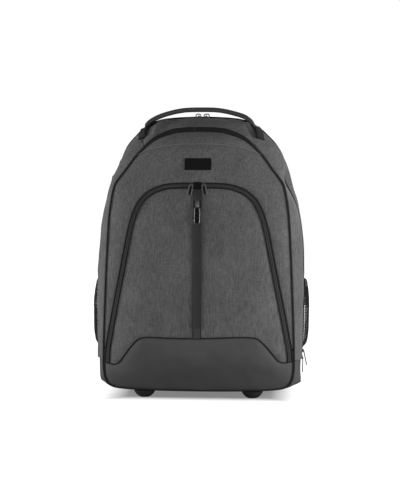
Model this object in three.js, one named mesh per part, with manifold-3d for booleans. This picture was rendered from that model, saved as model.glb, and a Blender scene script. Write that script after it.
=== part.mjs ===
// Wheeled backpack: a soft bag on a moulded trolley base with two wheels, two front feet
// and a two-stage pull handle. Millimetres, Z up, the front faces -Y.
import * as THREE from 'three';
import { mergeVertices } from 'three/addons/utils/BufferGeometryUtils.js';
import Module from 'manifold-3d';

const wasm = await Module();
wasm.setup();

// Driving dimensions of the bag
const bagWidth = 357;
const bagHeight = 460;
const underside = 15;
const seamDepth = 58;
const faceCrown = 36;
const ridgeRun = 16;
const ridgeDepth = 6;
const backDepth = 74;
const gap = 0.3;

// Cloth, piping and zips
const clothWall = 2.2;
const gussetBulge = 5;
const pipingWide = 8.4;
const pipingProud = 1.2;
const pipingDeep = 3.6;
const zipWide = 8;
const zipProud = 0.8;
const archZipWide = 10;
const archZipProud = 0.6;
const centreZipWide = 14.4;
const centreZipProud = 0.9;
const centreZipFoot = 122;
const centreZipHead = 354;
const labelWide = 45;
const labelHigh = 20;
const labelThick = 1;
const labelCentre = 397;

// Side pockets
const pocketFoot = 78;
const pocketHead = 196;
const pocketBulge = 10;
const pocketWall = 1;
const bindingWall = 1.7;

// Back
const backWall = 3;
const backPipe = 4;
const padThick = 8;
const padWide = 62;
const padHigh = 250;
const padSpacing = 118;
const padCentre = 255;

// Trolley base, wheels and feet
const baseFront = 34;
const baseHigh = 78;
const baseWall = 2.5;
const baseProud = 1.4;
const trackWide = 184;
const wheelRadius = 29;
const wheelWide = 28;
const wheelSet = 70;
const wheelTread = 7;
const wellClear = 3;
const axleRadius = 3.8;
const axleClear = 0.5;
const footSet = 56;
const footRadius = 19.4;
const footFlat = 7.5;

// Pull handle
const tubeSpacing = 96;
const tubeWide = 22;
const tubeDeep = 15;
const tubeWall = 1.2;
const tubeClear = 0.4;
const tubeSet = 66;
const bezelWide = 138;
const bezelDeep = 30;
const bezelHigh = 15;
const bezelTop = 455;
const gripWide = 128;
const gripDeep = 22;
const gripHigh = 13;
const buttonWide = 26;
const buttonDeep = 10;
const buttonProud = 2.4;

// Carry handle
const carrySpan = 186;
const carryThick = 8.3;
const carryDeep = 17;
const carryTop = 494;
const carryWebbing = 1.8;

// Shoulder straps
const strapThick = 11;
const strapWide = 62;
const webbingWide = 25;
const webbingThick = 1.6;
const buckleWide = 34;
const buckleHigh = 26;
const buckleThick = 4.4;

// Outlines of the bag's front seam, ridge and back seam, from the middle of the underside
// round the right side to the middle of the top: x as a share of half the bag's width,
// z as a share of its height, ridgeY as a share of ridgeRun, piping as a share of pipingWide.
const outline = [
  { at: 'under middle', frontX: 0, frontZ: -0.001, ridgeX: 0, ridgeZ: 0,
    backX: 0, backZ: 0.004, ridgeY: 0, piping: 0.3 },
  { at: 'under', frontX: 0.448, frontZ: 0, ridgeX: 0.493, ridgeZ: 0,
    backX: 0.471, backZ: 0.004, ridgeY: 0, piping: 0.3 },
  { at: 'under outer', frontX: 0.717, frontZ: 0.002, ridgeX: 0.796, ridgeZ: 0.001,
    backX: 0.762, backZ: 0.005, ridgeY: 0, piping: 0.3 },
  { at: 'corner start', frontX: 0.835, frontZ: 0.009, ridgeX: 0.919, ridgeZ: 0.008,
    backX: 0.874, backZ: 0.014, ridgeY: 0, piping: 0.3 },
  { at: 'corner', frontX: 0.888, frontZ: 0.029, ridgeX: 0.974, ridgeZ: 0.029,
    backX: 0.924, backZ: 0.037, ridgeY: 0, piping: 0.3 },
  { at: 'corner end', frontX: 0.91, frontZ: 0.063, ridgeX: 0.992, ridgeZ: 0.061,
    backX: 0.944, backZ: 0.065, ridgeY: 0, piping: 0.3 },
  { at: 'base seam', frontX: 0.913, frontZ: 0.107, ridgeX: 0.997, ridgeZ: 0.1,
    backX: 0.95, backZ: 0.1, ridgeY: 0, piping: 0.3 },
  { at: 'low side', frontX: 0.909, frontZ: 0.215, ridgeX: 1.002, ridgeZ: 0.217,
    backX: 0.955, backZ: 0.217, ridgeY: 0, piping: 0.3 },
  { at: 'widest', frontX: 0.896, frontZ: 0.365, ridgeX: 1.001, ridgeZ: 0.38,
    backX: 0.954, backZ: 0.38, ridgeY: 0, piping: 0.3 },
  { at: 'middle side', frontX: 0.881, frontZ: 0.496, ridgeX: 0.99, ridgeZ: 0.502,
    backX: 0.943, backZ: 0.502, ridgeY: 0, piping: 0.3 },
  { at: 'upper side', frontX: 0.862, frontZ: 0.624, ridgeX: 0.958, ridgeZ: 0.62,
    backX: 0.913, backZ: 0.615, ridgeY: 0.03, piping: 0.32 },
  { at: 'shoulder start', frontX: 0.839, frontZ: 0.698, ridgeX: 0.906, ridgeZ: 0.709,
    backX: 0.866, backZ: 0.696, ridgeY: 0.12, piping: 0.36 },
  { at: 'shoulder knee', frontX: 0.81, frontZ: 0.75, ridgeX: 0.868, ridgeZ: 0.763,
    backX: 0.826, backZ: 0.75, ridgeY: 0.25, piping: 0.4 },
  { at: 'shoulder', frontX: 0.762, frontZ: 0.78, ridgeX: 0.832, ridgeZ: 0.807,
    backX: 0.79, backZ: 0.793, ridgeY: 0.38, piping: 0.45 },
  { at: 'shoulder slope', frontX: 0.699, frontZ: 0.812, ridgeX: 0.796, ridgeZ: 0.846,
    backX: 0.745, backZ: 0.833, ridgeY: 0.44, piping: 0.5 },
  { at: 'shoulder high', frontX: 0.622, frontZ: 0.853, ridgeX: 0.734, ridgeZ: 0.895,
    backX: 0.672, backZ: 0.874, ridgeY: 0.56, piping: 0.58 },
  { at: 'top corner', frontX: 0.527, frontZ: 0.893, ridgeX: 0.639, ridgeZ: 0.936,
    backX: 0.577, backZ: 0.908, ridgeY: 0.69, piping: 0.7 },
  { at: 'top corner end', frontX: 0.422, frontZ: 0.926, ridgeX: 0.549, ridgeZ: 0.962,
    backX: 0.487, backZ: 0.927, ridgeY: 0.81, piping: 0.82 },
  { at: 'top outer', frontX: 0.291, frontZ: 0.947, ridgeX: 0.426, ridgeZ: 0.987,
    backX: 0.381, backZ: 0.94, ridgeY: 0.91, piping: 0.95 },
  { at: 'top inner', frontX: 0.19, frontZ: 0.955, ridgeX: 0.269, ridgeZ: 0.997,
    backX: 0.246, backZ: 0.947, ridgeY: 0.97, piping: 1 },
  { at: 'top middle', frontX: 0, frontZ: 0.958, ridgeX: 0, ridgeZ: 1.001,
    backX: 0, backZ: 0.95, ridgeY: 1, piping: 1 },
];
const lastRow = outline.length - 1;
const rowAt = (name) => outline.findIndex((row) => row.at === name);

// The front face: depth of its edge as a share of seamDepth, rise of its middle as a share
// of faceCrown and half width of the crown as a share of half the bag's width.
const face = [
  { z: -0.033, side: 1, crown: 0.556, wide: 0.913 },
  { z: -0.002, side: 1, crown: 0.583, wide: 0.913 },
  { z: 0.098, side: 1, crown: 0.889, wide: 0.913 },
  { z: 0.207, side: 0.983, crown: 1, wide: 0.913 },
  { z: 0.402, side: 0.948, crown: 0.972, wide: 0.896 },
  { z: 0.62, side: 0.888, crown: 0.847, wide: 0.863 },
  { z: 0.698, side: 0.845, crown: 0.785, wide: 0.84 },
  { z: 0.75, side: 0.802, crown: 0.736, wide: 0.81 },
  { z: 0.79, side: 0.745, crown: 0.7, wide: 0.745 },
  { z: 0.837, side: 0.672, crown: 0.665, wide: 0.655 },
  { z: 0.893, side: 0.57, crown: 0.62, wide: 0.53 },
  { z: 0.926, side: 0.505, crown: 0.42, wide: 0.425 },
  { z: 0.947, side: 0.46, crown: 0.2, wide: 0.31 },
  { z: 0.959, side: 0.431, crown: 0.083, wide: 0.29 },
  { z: 0.989, side: 0.345, crown: 0.028, wide: 0.28 },
];
const crownPower = 2.6;

// Middle line of the arched front zip and top seam of the smooth base panel, middle to side
const arch = [
  { x: 0, z: 0.752 },
  { x: 0.179, z: 0.752 },
  { x: 0.325, z: 0.746 },
  { x: 0.446, z: 0.727 },
  { x: 0.536, z: 0.697 },
  { x: 0.597, z: 0.654 },
  { x: 0.637, z: 0.606 },
  { x: 0.682, z: 0.524 },
  { x: 0.732, z: 0.424 },
  { x: 0.784, z: 0.323 },
  { x: 0.835, z: 0.219 },
  { x: 0.871, z: 0.135 },
  { x: 0.88, z: 0.05 },
];
const baseSeam = [
  { x: 0, z: 0.195 },
  { x: 0.235, z: 0.2 },
  { x: 0.482, z: 0.204 },
  { x: 0.557, z: 0.196 },
  { x: 0.627, z: 0.17 },
  { x: 0.693, z: 0.14 },
  { x: 0.749, z: 0.115 },
  { x: 0.796, z: 0.108 },
  { x: 0.864, z: 0.11 },
  { x: 0.96, z: 0.116 },
];
const crescentSeam = [
  { x: 0, z: 0.904 },
  { x: 0.18, z: 0.903 },
  { x: 0.36, z: 0.894 },
  { x: 0.485, z: 0.882 },
  { x: 0.62, z: 0.858 },
];

// Side pocket: rise off the gusset up its height, as a share of pocketBulge
const pocketRise = [
  { up: 0, rise: 0 },
  { up: 0.12, rise: 0.45 },
  { up: 0.3, rise: 0.88 },
  { up: 0.57, rise: 1 },
  { up: 0.8, rise: 0.9 },
  { up: 1, rise: 0.76 },
];

// Carry handle: middle line from the top to the end of the pad, then its webbing down to the
// gusset; x as a share of half carrySpan, drop below the top as a share of carryDrop
const carryDrop = 56;
const carryLine = [
  { x: 0, drop: 0, back: 1 },
  { x: 0.33, drop: 0.02, back: 1 },
  { x: 0.62, drop: 0.12, back: 0.93 },
  { x: 0.82, drop: 0.24, back: 0.8 },
  { x: 0.94, drop: 0.36, back: 0.65 },
  { x: 1, drop: 0.45, back: 0.5 },
];
const carrySet = 12;
const carrySeat = 0.55;
const carryWebbingWide = 16;
// Where the handle's webbing lies on the gusset: rows past its corner, height off it
const carrySeats = [
  { row: 0.72, lifted: 3 },
  { row: 0.42, lifted: 1.2 },
  { row: 0.1, lifted: 0.9 },
];

// Shoulder strap: x as a share of half the strap spacing, z as a share of the strap's reach,
// out as a share of the strap's stand-off, wide and thick as shares of strapWide and strapThick
const strapSpacing = 124;
const strapReach = 240;
const strapTop = 428;
const strapStand = 24;
const strapLine = [
  { x: 0.92, z: 1, out: 0, wide: 0.95, thick: 0.35 },
  { x: 0.93, z: 0.97, out: 0.5, wide: 0.97, thick: 0.75 },
  { x: 0.95, z: 0.88, out: 0.82, wide: 1, thick: 1 },
  { x: 1, z: 0.7, out: 1, wide: 1, thick: 1 },
  { x: 1.08, z: 0.48, out: 1, wide: 0.97, thick: 1 },
  { x: 1.2, z: 0.25, out: 0.9, wide: 0.86, thick: 1 },
  { x: 1.32, z: 0.07, out: 0.72, wide: 0.72, thick: 0.85 },
  { x: 1.36, z: 0, out: 0.62, wide: 0.6, thick: 0.5 },
];

// Colours
const look = (color, roughness, metalness = 0) =>
  new THREE.MeshStandardMaterial({ color, roughness, metalness });
const cloth = look('#4e4e50', 0.9);
const smoothCloth = look('#3a3a3c', 0.55);
const dark = look('#202022', 0.7);
const tape = look('#2a2a2c', 0.8);
const moulded = look('#1c1c1e', 0.5);
const rubber = look('#161617', 0.75);
const steel = look('#a8a8aa', 0.3, 1);
const darkMetal = look('#3a3a3c', 0.35, 0.8);

const lerp = THREE.MathUtils.lerp;
const span = (from, to, count) => Array.from({ length: count + 1 }, (_, k) => lerp(from, to, k / count));
const halfWidth = bagWidth / 2;
const heightOf = (share) => underside + share * bagHeight;
const shareOf = (z) => (z - underside) / bagHeight;
const mirrorSides = [
  { name: 'left', sign: -1 },
  { name: 'right', sign: 1 },
];

// A column's value between a table's rows, smooth and without overshoot
function readTable(table, key, column, value) {
  const last = table.length - 1;
  if (value <= table[0][key]) return table[0][column];
  if (value >= table[last][key]) return table[last][column];
  const i = table.findIndex((row) => row[key] > value) - 1;
  const slope = (k) => (table[k + 1][column] - table[k][column]) / (table[k + 1][key] - table[k][key]);
  const tangent = (k) => {
    if (k === 0) return slope(0);
    if (k === last) return slope(last - 1);
    return slope(k - 1) * slope(k) <= 0 ? 0 : (slope(k - 1) + slope(k)) / 2;
  };
  const span = table[i + 1][key] - table[i][key];
  const t = (value - table[i][key]) / span;
  const rise = table[i + 1][column] - table[i][column];
  const c0 = tangent(i) * span;
  const c1 = tangent(i + 1) * span;
  return table[i][column] + c0 * t + (3 * rise - 2 * c0 - c1) * t * t + (c0 + c1 - 2 * rise) * t * t * t;
}

// Depth of the front face at x and z
function faceDepth(x, z) {
  const share = shareOf(z);
  const side = readTable(face, 'z', 'side', share) * seamDepth;
  const crown = readTable(face, 'z', 'crown', share) * faceCrown;
  const reach = Math.min(1, Math.abs(x) / (readTable(face, 'z', 'wide', share) * halfWidth));
  return -side - crown * (1 - reach ** crownPower);
}

// Closed solids as manifold solids
function toSolid(geometry) {
  const bare = geometry.index ? geometry.toNonIndexed() : geometry.clone();
  bare.deleteAttribute('normal');
  bare.deleteAttribute('uv');
  const merged = mergeVertices(bare, 1e-4);
  return new wasm.Manifold(new wasm.Mesh({
    numProp: 3,
    vertProperties: new Float32Array(merged.attributes.position.array),
    triVerts: new Uint32Array(merged.index.array),
  }));
}

function toGeometry(solid) {
  const mesh = solid.getMesh();
  const geometry = new THREE.BufferGeometry();
  geometry.setAttribute('position', new THREE.BufferAttribute(mesh.vertProperties.slice(), 3));
  geometry.setIndex(new THREE.BufferAttribute(mesh.triVerts.slice(), 1));
  geometry.computeVertexNormals();
  return geometry;
}

// A closed body between an outer and an inner grid of points
function gridGeometry(outer, inner) {
  const rows = outer.length;
  const columns = outer[0].length;
  const points = [...outer.flat(), ...inner.flat()];
  const index = [];
  const outerAt = (i, j) => i * columns + j;
  const innerAt = (i, j) => (rows + i) * columns + j;
  const quad = (a, b, c, d) => index.push(a, b, c, a, c, d);
  for (let i = 0; i < rows - 1; i += 1) {
    for (let j = 0; j < columns - 1; j += 1) {
      quad(outerAt(i, j), outerAt(i + 1, j), outerAt(i + 1, j + 1), outerAt(i, j + 1));
      quad(innerAt(i, j), innerAt(i, j + 1), innerAt(i + 1, j + 1), innerAt(i + 1, j));
    }
    quad(outerAt(i, 0), innerAt(i, 0), innerAt(i + 1, 0), outerAt(i + 1, 0));
    const j = columns - 1;
    quad(outerAt(i, j), outerAt(i + 1, j), innerAt(i + 1, j), innerAt(i, j));
  }
  for (let j = 0; j < columns - 1; j += 1) {
    quad(outerAt(0, j), outerAt(0, j + 1), innerAt(0, j + 1), innerAt(0, j));
    quad(outerAt(rows - 1, j), innerAt(rows - 1, j), innerAt(rows - 1, j + 1), outerAt(rows - 1, j + 1));
  }
  return facingOut(new THREE.BufferGeometry().setFromPoints(points), index);
}

// Sets the index, turned over where the body would be inside out
function facingOut(geometry, index) {
  const at = (k) => new THREE.Vector3().fromBufferAttribute(geometry.attributes.position, k);
  let volume = 0;
  for (let k = 0; k < index.length; k += 3) {
    volume += at(index[k]).dot(at(index[k + 1]).cross(at(index[k + 2])));
  }
  geometry.setIndex(volume > 0 ? index : index.slice().reverse());
  geometry.computeVertexNormals();
  return geometry;
}

// Cross sections joined along a row, capped at both ends
function loftGeometry(sections) {
  const count = sections[0].length;
  const points = sections.flat();
  const index = [];
  for (let i = 0; i < sections.length - 1; i += 1) {
    for (let j = 0; j < count; j += 1) {
      const next = (j + 1) % count;
      const a = i * count + j;
      const b = i * count + next;
      index.push(a, b, b + count, a, b + count, a + count);
    }
  }
  const end = (sections.length - 1) * count;
  for (let j = 1; j < count - 1; j += 1) {
    index.push(0, j + 1, j);
    index.push(end, end + j, end + j + 1);
  }
  return facingOut(new THREE.BufferGeometry().setFromPoints(points), index);
}

// A shape drawn in X and Z, extruded from yFront to yBack
function prism(points, yFront, yBack) {
  const shape = new THREE.Shape(points.map((p) => new THREE.Vector2(p.x, p.z)));
  const geometry = new THREE.ExtrudeGeometry(shape, { depth: yBack - yFront, bevelEnabled: false });
  geometry.rotateX(Math.PI / 2);
  geometry.translate(0, yBack, 0);
  return toSolid(geometry);
}

function block(size, centre) {
  return toSolid(new THREE.BoxGeometry(...size).translate(...centre));
}

// A rectangle with round corners in X and Y, extruded up from zLow to zHigh
function roundedBar(wide, deep, radius, zLow, zHigh, x, y) {
  const shape = new THREE.Shape();
  const w = wide / 2;
  const d = deep / 2;
  shape.moveTo(-w + radius, -d);
  shape.lineTo(w - radius, -d);
  shape.absarc(w - radius, -d + radius, radius, -Math.PI / 2, 0);
  shape.absarc(w - radius, d - radius, radius, 0, Math.PI / 2);
  shape.absarc(-w + radius, d - radius, radius, Math.PI / 2, Math.PI);
  shape.absarc(-w + radius, -d + radius, radius, Math.PI, Math.PI * 1.5);
  const depth = zHigh - zLow;
  const geometry = new THREE.ExtrudeGeometry(shape, { depth, bevelEnabled: false, curveSegments: 2 });
  geometry.translate(x, y, zLow);
  return toSolid(geometry);
}

// A point on one of the bag's outlines; negative rows are the left side
function outlinePoint(seam, row) {
  const r = Math.min(lastRow, Math.abs(row));
  const i = Math.min(lastRow - 1, Math.floor(r));
  const t = r - i;
  const read = (key) => {
    const v = (k) => {
      if (k < 0) return (key.endsWith('X') ? -1 : 1) * outline[-k][key];
      if (k > lastRow) return (key.endsWith('X') ? -1 : 1) * outline[2 * lastRow - k][key];
      return outline[k][key];
    };
    const [a, b, c, d] = [v(i - 1), v(i), v(i + 1), v(i + 2)];
    return b + 0.5 * t * (c - a + t * (2 * a - 5 * b + 4 * c - d + t * (3 * (b - c) + d - a)));
  };
  return {
    x: Math.sign(row || 1) * read(`${seam}X`) * halfWidth,
    z: heightOf(read(`${seam}Z`)),
    piping: read('piping') * pipingWide,
    y: ridgeDepth + read('ridgeY') * ridgeRun,
  };
}

// The same point moved outwards by a distance, in X and Z
function offsetPoint(seam, row, distance) {
  const here = outlinePoint(seam, row);
  const step = 0.05;
  const before = outlinePoint(seam, row - step);
  const after = outlinePoint(seam, row + step);
  const dx = after.x - before.x;
  const dz = after.z - before.z;
  const long = Math.hypot(dx, dz) || 1;
  return { ...here, x: here.x + (dz / long) * distance, z: here.z - (dx / long) * distance };
}

// Closed outline of a seam, moved outwards by distance(point)
const rowsAround = [];
for (let row = -lastRow + 0.5; row <= lastRow; row += 0.5) rowsAround.push(row);
const seamLoop = (seam, distance) =>
  rowsAround.map((row) => offsetPoint(seam, row, distance(outlinePoint(seam, row))));

// Outline closed from a half table: mirrored, smooth, moved outwards by distance, closed at closeZ
function regionFrom(table, distance, closeZ) {
  const half = table.map((row) => new THREE.Vector3(row.x * halfWidth, 0, heightOf(row.z)));
  const left = half.slice(1).reverse().map((p) => new THREE.Vector3(-p.x, 0, p.z));
  const curve = new THREE.CatmullRomCurve3([...left, ...half], false, 'centripetal');
  const points = curve.getPoints(4 * (half.length - 1));
  const moved = points.map((p, k) => {
    const a = points[Math.max(0, k - 1)];
    const b = points[Math.min(points.length - 1, k + 1)];
    const long = Math.hypot(b.x - a.x, b.z - a.z);
    return { x: p.x - ((b.z - a.z) / long) * distance, z: p.z + ((b.x - a.x) / long) * distance };
  });
  const wide = halfWidth * 1.2;
  const first = moved[0];
  const last = moved[moved.length - 1];
  return [{ x: -wide, z: closeZ }, { x: -wide, z: first.z }, ...moved,
    { x: wide, z: last.z }, { x: wide, z: closeZ }];
}

// Outline of the arch zip's outer or inner edge, closed below
function archRegion(distance) {
  const points = regionFrom(arch, distance, 0);
  const inner = points.slice(2, -2);
  return [{ x: inner[0].x, z: -50 }, ...inner, { x: inner[inner.length - 1].x, z: -50 }];
}

const rectangle = (wide, low, high) => [
  { x: -wide / 2, z: low }, { x: wide / 2, z: low }, { x: wide / 2, z: high }, { x: -wide / 2, z: high }];

// The front face as a sheet of flat facets: proud lifts its outer side forward, wall is its
// thickness
const farFront = -seamDepth - faceCrown - 20;
const farBack = 20;
const facets = { across: 12, up: 15, wide: halfWidth * 1.05, low: underside - 14, high: heightOf(1) };
function faceSheet(proud, wall) {
  const outer = [];
  const inner = [];
  for (const x of span(-facets.wide, facets.wide, facets.across)) {
    const line = span(facets.low, facets.high, facets.up);
    outer.push(line.map((z) => new THREE.Vector3(x, faceDepth(x, z) - proud, z)));
    inner.push(line.map((z) => new THREE.Vector3(x, faceDepth(x, z) - proud + wall, z)));
  }
  return toSolid(gridGeometry(outer, inner));
}

// Depth of the flat facets above and below x and z
function facetDepth(x, z) {
  const column = ((x + facets.wide) / (2 * facets.wide)) * facets.across;
  const row = ((z - facets.low) / (facets.high - facets.low)) * facets.up;
  const at = (i, j) => faceDepth(
    -facets.wide + (2 * facets.wide * i) / facets.across,
    facets.low + ((facets.high - facets.low) * j) / facets.up);
  const i = Math.floor(column);
  const j = Math.floor(row);
  const low = lerp(at(i, j), at(i + 1, j), column - i);
  const high = lerp(at(i, j + 1), at(i + 1, j + 1), column - i);
  return lerp(low, high, row - j);
}

const region = (points) => prism(points, farFront, farBack);

// A band of the gusset between two seams. edge(row, across) gives its outer points, and its
// wall is taken inwards in X and Z, so that its edges stay square to the seams.
function bandGeometry(rows, acrossSteps, edge, wall) {
  const outer = rows.map((row) => acrossSteps.map((v) => edge(row, v)));
  const inner = rows.map((row, i) => {
    const here = outlinePoint('ridge', row);
    const out = offsetPoint('ridge', row, 1);
    const inward = new THREE.Vector3(here.x - out.x, 0, here.z - out.z).multiplyScalar(wall);
    return outer[i].map((p) => p.clone().add(inward));
  });
  return gridGeometry(outer, inner);
}

// Front edge of the gusset, beside the piping, and its edges at the ridge and the back seam
const gussetFront = (row) => {
  const here = outlinePoint('front', row);
  const p = offsetPoint('front', row, here.piping / 2 + 2 * gap);
  return new THREE.Vector3(p.x, faceDepth(p.x, p.z) + pipingDeep - pipingProud + 1.5 * gap, p.z);
};
const ridgeEdge = (row, offset, proud = 0) => {
  const p = offsetPoint('ridge', row, proud);
  return new THREE.Vector3(p.x, p.y + offset, p.z);
};
const backEdge = (row) => {
  const p = outlinePoint('back', row);
  return new THREE.Vector3(p.x, backDepth, p.z);
};

// Smooth run between two edges, bowed outwards in X and Z by bulge
function bowed(from, to, row, v, bulge) {
  const point = from.clone().lerp(to, v);
  const here = outlinePoint('ridge', row);
  const out = offsetPoint('ridge', row, 1);
  const bow = bulge * Math.sin(Math.PI * THREE.MathUtils.clamp(v, 0, 1));
  point.x += (out.x - here.x) * bow;
  point.z += (out.z - here.z) * bow;
  return point;
}

const frontBand = (row, v) =>
  bowed(gussetFront(row), ridgeEdge(row, -zipWide / 2 - gap), row, v, gussetBulge);
const rearBand = (row, v) =>
  bowed(ridgeEdge(row, zipWide / 2 + gap), backEdge(row), row, v, gussetBulge * 0.6);
const zipBand = (row, v) => ridgeEdge(row, lerp(-zipWide / 2, zipWide / 2, v), zipProud);
const wrapBand = (row, v) => (v < 0.5
  ? gussetFront(row).lerp(ridgeEdge(row, 0), v * 2)
  : ridgeEdge(row, 0).lerp(backEdge(row), v * 2 - 1));

// The assembly
const bag = new THREE.Group();
const boxCentre = new THREE.Vector3();
function add(name, shape, material) {
  const geometry = shape instanceof THREE.BufferGeometry ? shape : toGeometry(shape);
  const mesh = new THREE.Mesh(geometry, material);
  mesh.name = name;
  bag.add(mesh);
  return mesh;
}

// Front of the bag: panels cut from one crowned sheet along the seams
const pipingIn = region(seamLoop('front', (p) => -p.piping / 2 - gap));
const pipingInner = region(seamLoop('front', (p) => -p.piping / 2));
const pipingOuter = region(seamLoop('front', (p) => p.piping / 2));
const baseCut = (distance) => region(regionFrom(baseSeam, distance, -60));
const crescentCut = (distance) => region(regionFrom(crescentSeam, distance, heightOf(1.2)));
const archOut = archZipWide / 2;
const sheet = faceSheet(0, clothWall).intersect(pipingIn);
const labelRegion = rectangle(labelWide, labelCentre - labelHigh / 2, labelCentre + labelHigh / 2);
const centreRegion = (grow) =>
  rectangle(centreZipWide + 2 * grow, centreZipFoot - grow, centreZipHead + grow);

add('base_panel', sheet.intersect(baseCut(0)), smoothCloth);
add('crescent_panel', sheet.intersect(crescentCut(0)), cloth);
add('front_panel', sheet.subtract(region(archRegion(archOut + gap))).subtract(baseCut(gap))
  .subtract(crescentCut(-gap)), cloth);
add('pocket_panel', sheet.intersect(region(archRegion(-archOut - gap))).subtract(baseCut(gap))
  .subtract(region(centreRegion(gap))), cloth);
add('arch_zip', faceSheet(archZipProud, clothWall).intersect(pipingIn)
  .intersect(region(archRegion(archOut)).subtract(region(archRegion(-archOut))))
  .subtract(baseCut(gap)), tape);
add('centre_zip', faceSheet(centreZipProud, clothWall).intersect(region(centreRegion(0))), tape);
add('label', faceSheet(labelThick + gap, labelThick).intersect(region(labelRegion)), dark);
add('front_piping', faceSheet(pipingProud, pipingDeep).intersect(pipingOuter.subtract(pipingInner)), dark);

// Sides and top of the bag
const seamRow = rowAt('base seam');
const cornerRow = rowAt('top corner');
const rowGap = 0.02;
const across = span(0, 1, 3);

// Trolley base: its outline follows the back seam
const baseRows = rowsAround.filter((row) => Math.abs(row) <= seamRow);
const baseOutline = (distance, top) => {
  const low = baseRows.map((row) => offsetPoint('back', row, distance));
  const side = low[low.length - 1].x;
  return [...low, { x: side, z: top }, { x: -side, z: top }];
};
const baseBack = backDepth + 12;
const baseOuter = (grow) =>
  prism(baseOutline(baseProud + grow, baseHigh + grow), baseFront - grow, baseBack + grow);
const wellWide = wheelWide + 2 * wellClear;
const wellTop = 2 * wheelRadius + wellClear + 1.5;
const wellFront = wheelSet - wheelRadius - wellClear;
const wheelX = trackWide / 2;
const spare = 20;
let trolleyBase = baseOuter(0)
  .subtract(prism(baseOutline(-baseWall, baseHigh + 40), baseFront - 10, backDepth + gap));
for (const { sign } of mirrorSides) {
  const deep = baseBack - wellFront;
  const x = sign * wheelX;
  const wall = 2 * baseWall;
  const floor = underside + 1;
  trolleyBase = trolleyBase
    .add(block([wellWide + wall, deep + baseWall - 1, wellTop + baseWall - floor],
      [x, baseBack - 0.5 - (deep + baseWall - 1) / 2, (wellTop + baseWall + floor) / 2]))
    .subtract(block([wellWide, deep + spare, wellTop + spare],
      [x, wellFront + (deep + spare) / 2, (wellTop - spare) / 2]));
}
const axleLong = wellWide + 2 * baseWall - 1;
function rodAcross(radius, long, x) {
  const rod = new THREE.CylinderGeometry(radius, radius, long, 12);
  return toSolid(rod.rotateZ(Math.PI / 2).translate(x, wheelSet, wheelRadius));
}
for (const { sign } of mirrorSides) {
  trolleyBase = trolleyBase.subtract(rodAcross(axleRadius + gap, axleLong + 2 * gap, sign * wheelX));
}

const wrapRows = span(-seamRow + rowGap, seamRow - rowGap, 22);
add('base_wrap', toSolid(bandGeometry(wrapRows, span(0, 1, 4), wrapBand, clothWall))
  .subtract(baseOuter(gap)), smoothCloth);
for (const { name, sign } of mirrorSides) {
  const rows = span(sign * (seamRow + rowGap), sign * (cornerRow - rowGap), 16);
  const ordered = sign > 0 ? rows : rows.reverse();
  add(`side_gusset_${name}`, bandGeometry(ordered, across, frontBand, clothWall), cloth);
}
const topRows = [...span(cornerRow + rowGap, lastRow, 6), ...span(-lastRow, -cornerRow - rowGap, 6).slice(1)];
add('top_gusset', bandGeometry(topRows, across, frontBand, clothWall), cloth);
const zipRows = [...span(seamRow + rowGap, lastRow, 22), ...span(-lastRow, -seamRow - rowGap, 22).slice(1)];
add('main_zip', bandGeometry(zipRows, [0, 1], zipBand, clothWall), tape);

// Handle bezel, let into the top of the rear gusset and the back panel
const bezelY = tubeSet;
const bezelFoot = bezelTop - bezelHigh;
const bezelCorner = 6;
const bezelBody = (grow) => roundedBar(bezelWide + 2 * grow, bezelDeep + 2 * grow, bezelCorner,
  bezelFoot - grow, bezelTop + spare * Math.sign(grow) + grow, 0, bezelY);
add('rear_gusset', toSolid(bandGeometry(zipRows, across, rearBand, clothWall))
  .subtract(baseOuter(gap)).subtract(bezelBody(gap)), cloth);

// Back panel and its piping
const backSheet = (distance, front, back) => prism(seamLoop('back', () => distance), front, back);
add('back_panel', backSheet(-clothWall, backDepth + gap, backDepth + gap + backWall)
  .subtract(baseOuter(gap)).subtract(bezelBody(gap)), cloth);
const backPiping = backSheet(backPipe / 2 - 1, backDepth + gap, backDepth + gap + backWall)
  .subtract(backSheet(-clothWall + gap, backDepth, backDepth + 10))
  .subtract(baseOuter(gap)).subtract(bezelBody(gap));
for (const { name, sign } of mirrorSides) {
  const half = block([bagWidth, bagWidth, 3 * bagHeight], [(sign * bagWidth) / 2, backDepth, 0]);
  add(`back_piping_${name}`, backPiping.intersect(half), dark);
}

add('trolley_base', trolleyBase, moulded);

// Back pads
const backFace = backDepth + gap + backWall;
for (const { name, sign } of mirrorSides) {
  const pad = new THREE.Shape();
  const w = padWide / 2;
  const h = padHigh / 2;
  const round = 16;
  pad.moveTo(-w + round, -h);
  pad.lineTo(w - round, -h);
  pad.absarc(w - round, -h + round, round, -Math.PI / 2, 0);
  pad.absarc(w - round, h - round, round, 0, Math.PI / 2);
  pad.absarc(-w + round, h - round, round, Math.PI / 2, Math.PI);
  pad.absarc(-w + round, -h + round, round, Math.PI, Math.PI * 1.5);
  const bevel = 3;
  const geometry = new THREE.ExtrudeGeometry(pad, {
    depth: padThick - bevel, bevelEnabled: true, bevelSize: bevel, bevelOffset: -bevel,
    bevelThickness: bevel, bevelSegments: 2, curveSegments: 4 });
  geometry.rotateX(-Math.PI / 2);
  geometry.translate((sign * padSpacing) / 2, backFace + gap, padCentre);
  const slice = block([2 * bagWidth, padThick, 2 * bagHeight], [0, backFace + gap + padThick / 2, padCentre]);
  add(`back_pad_${name}`, toSolid(geometry).intersect(slice), cloth);
}

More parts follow.
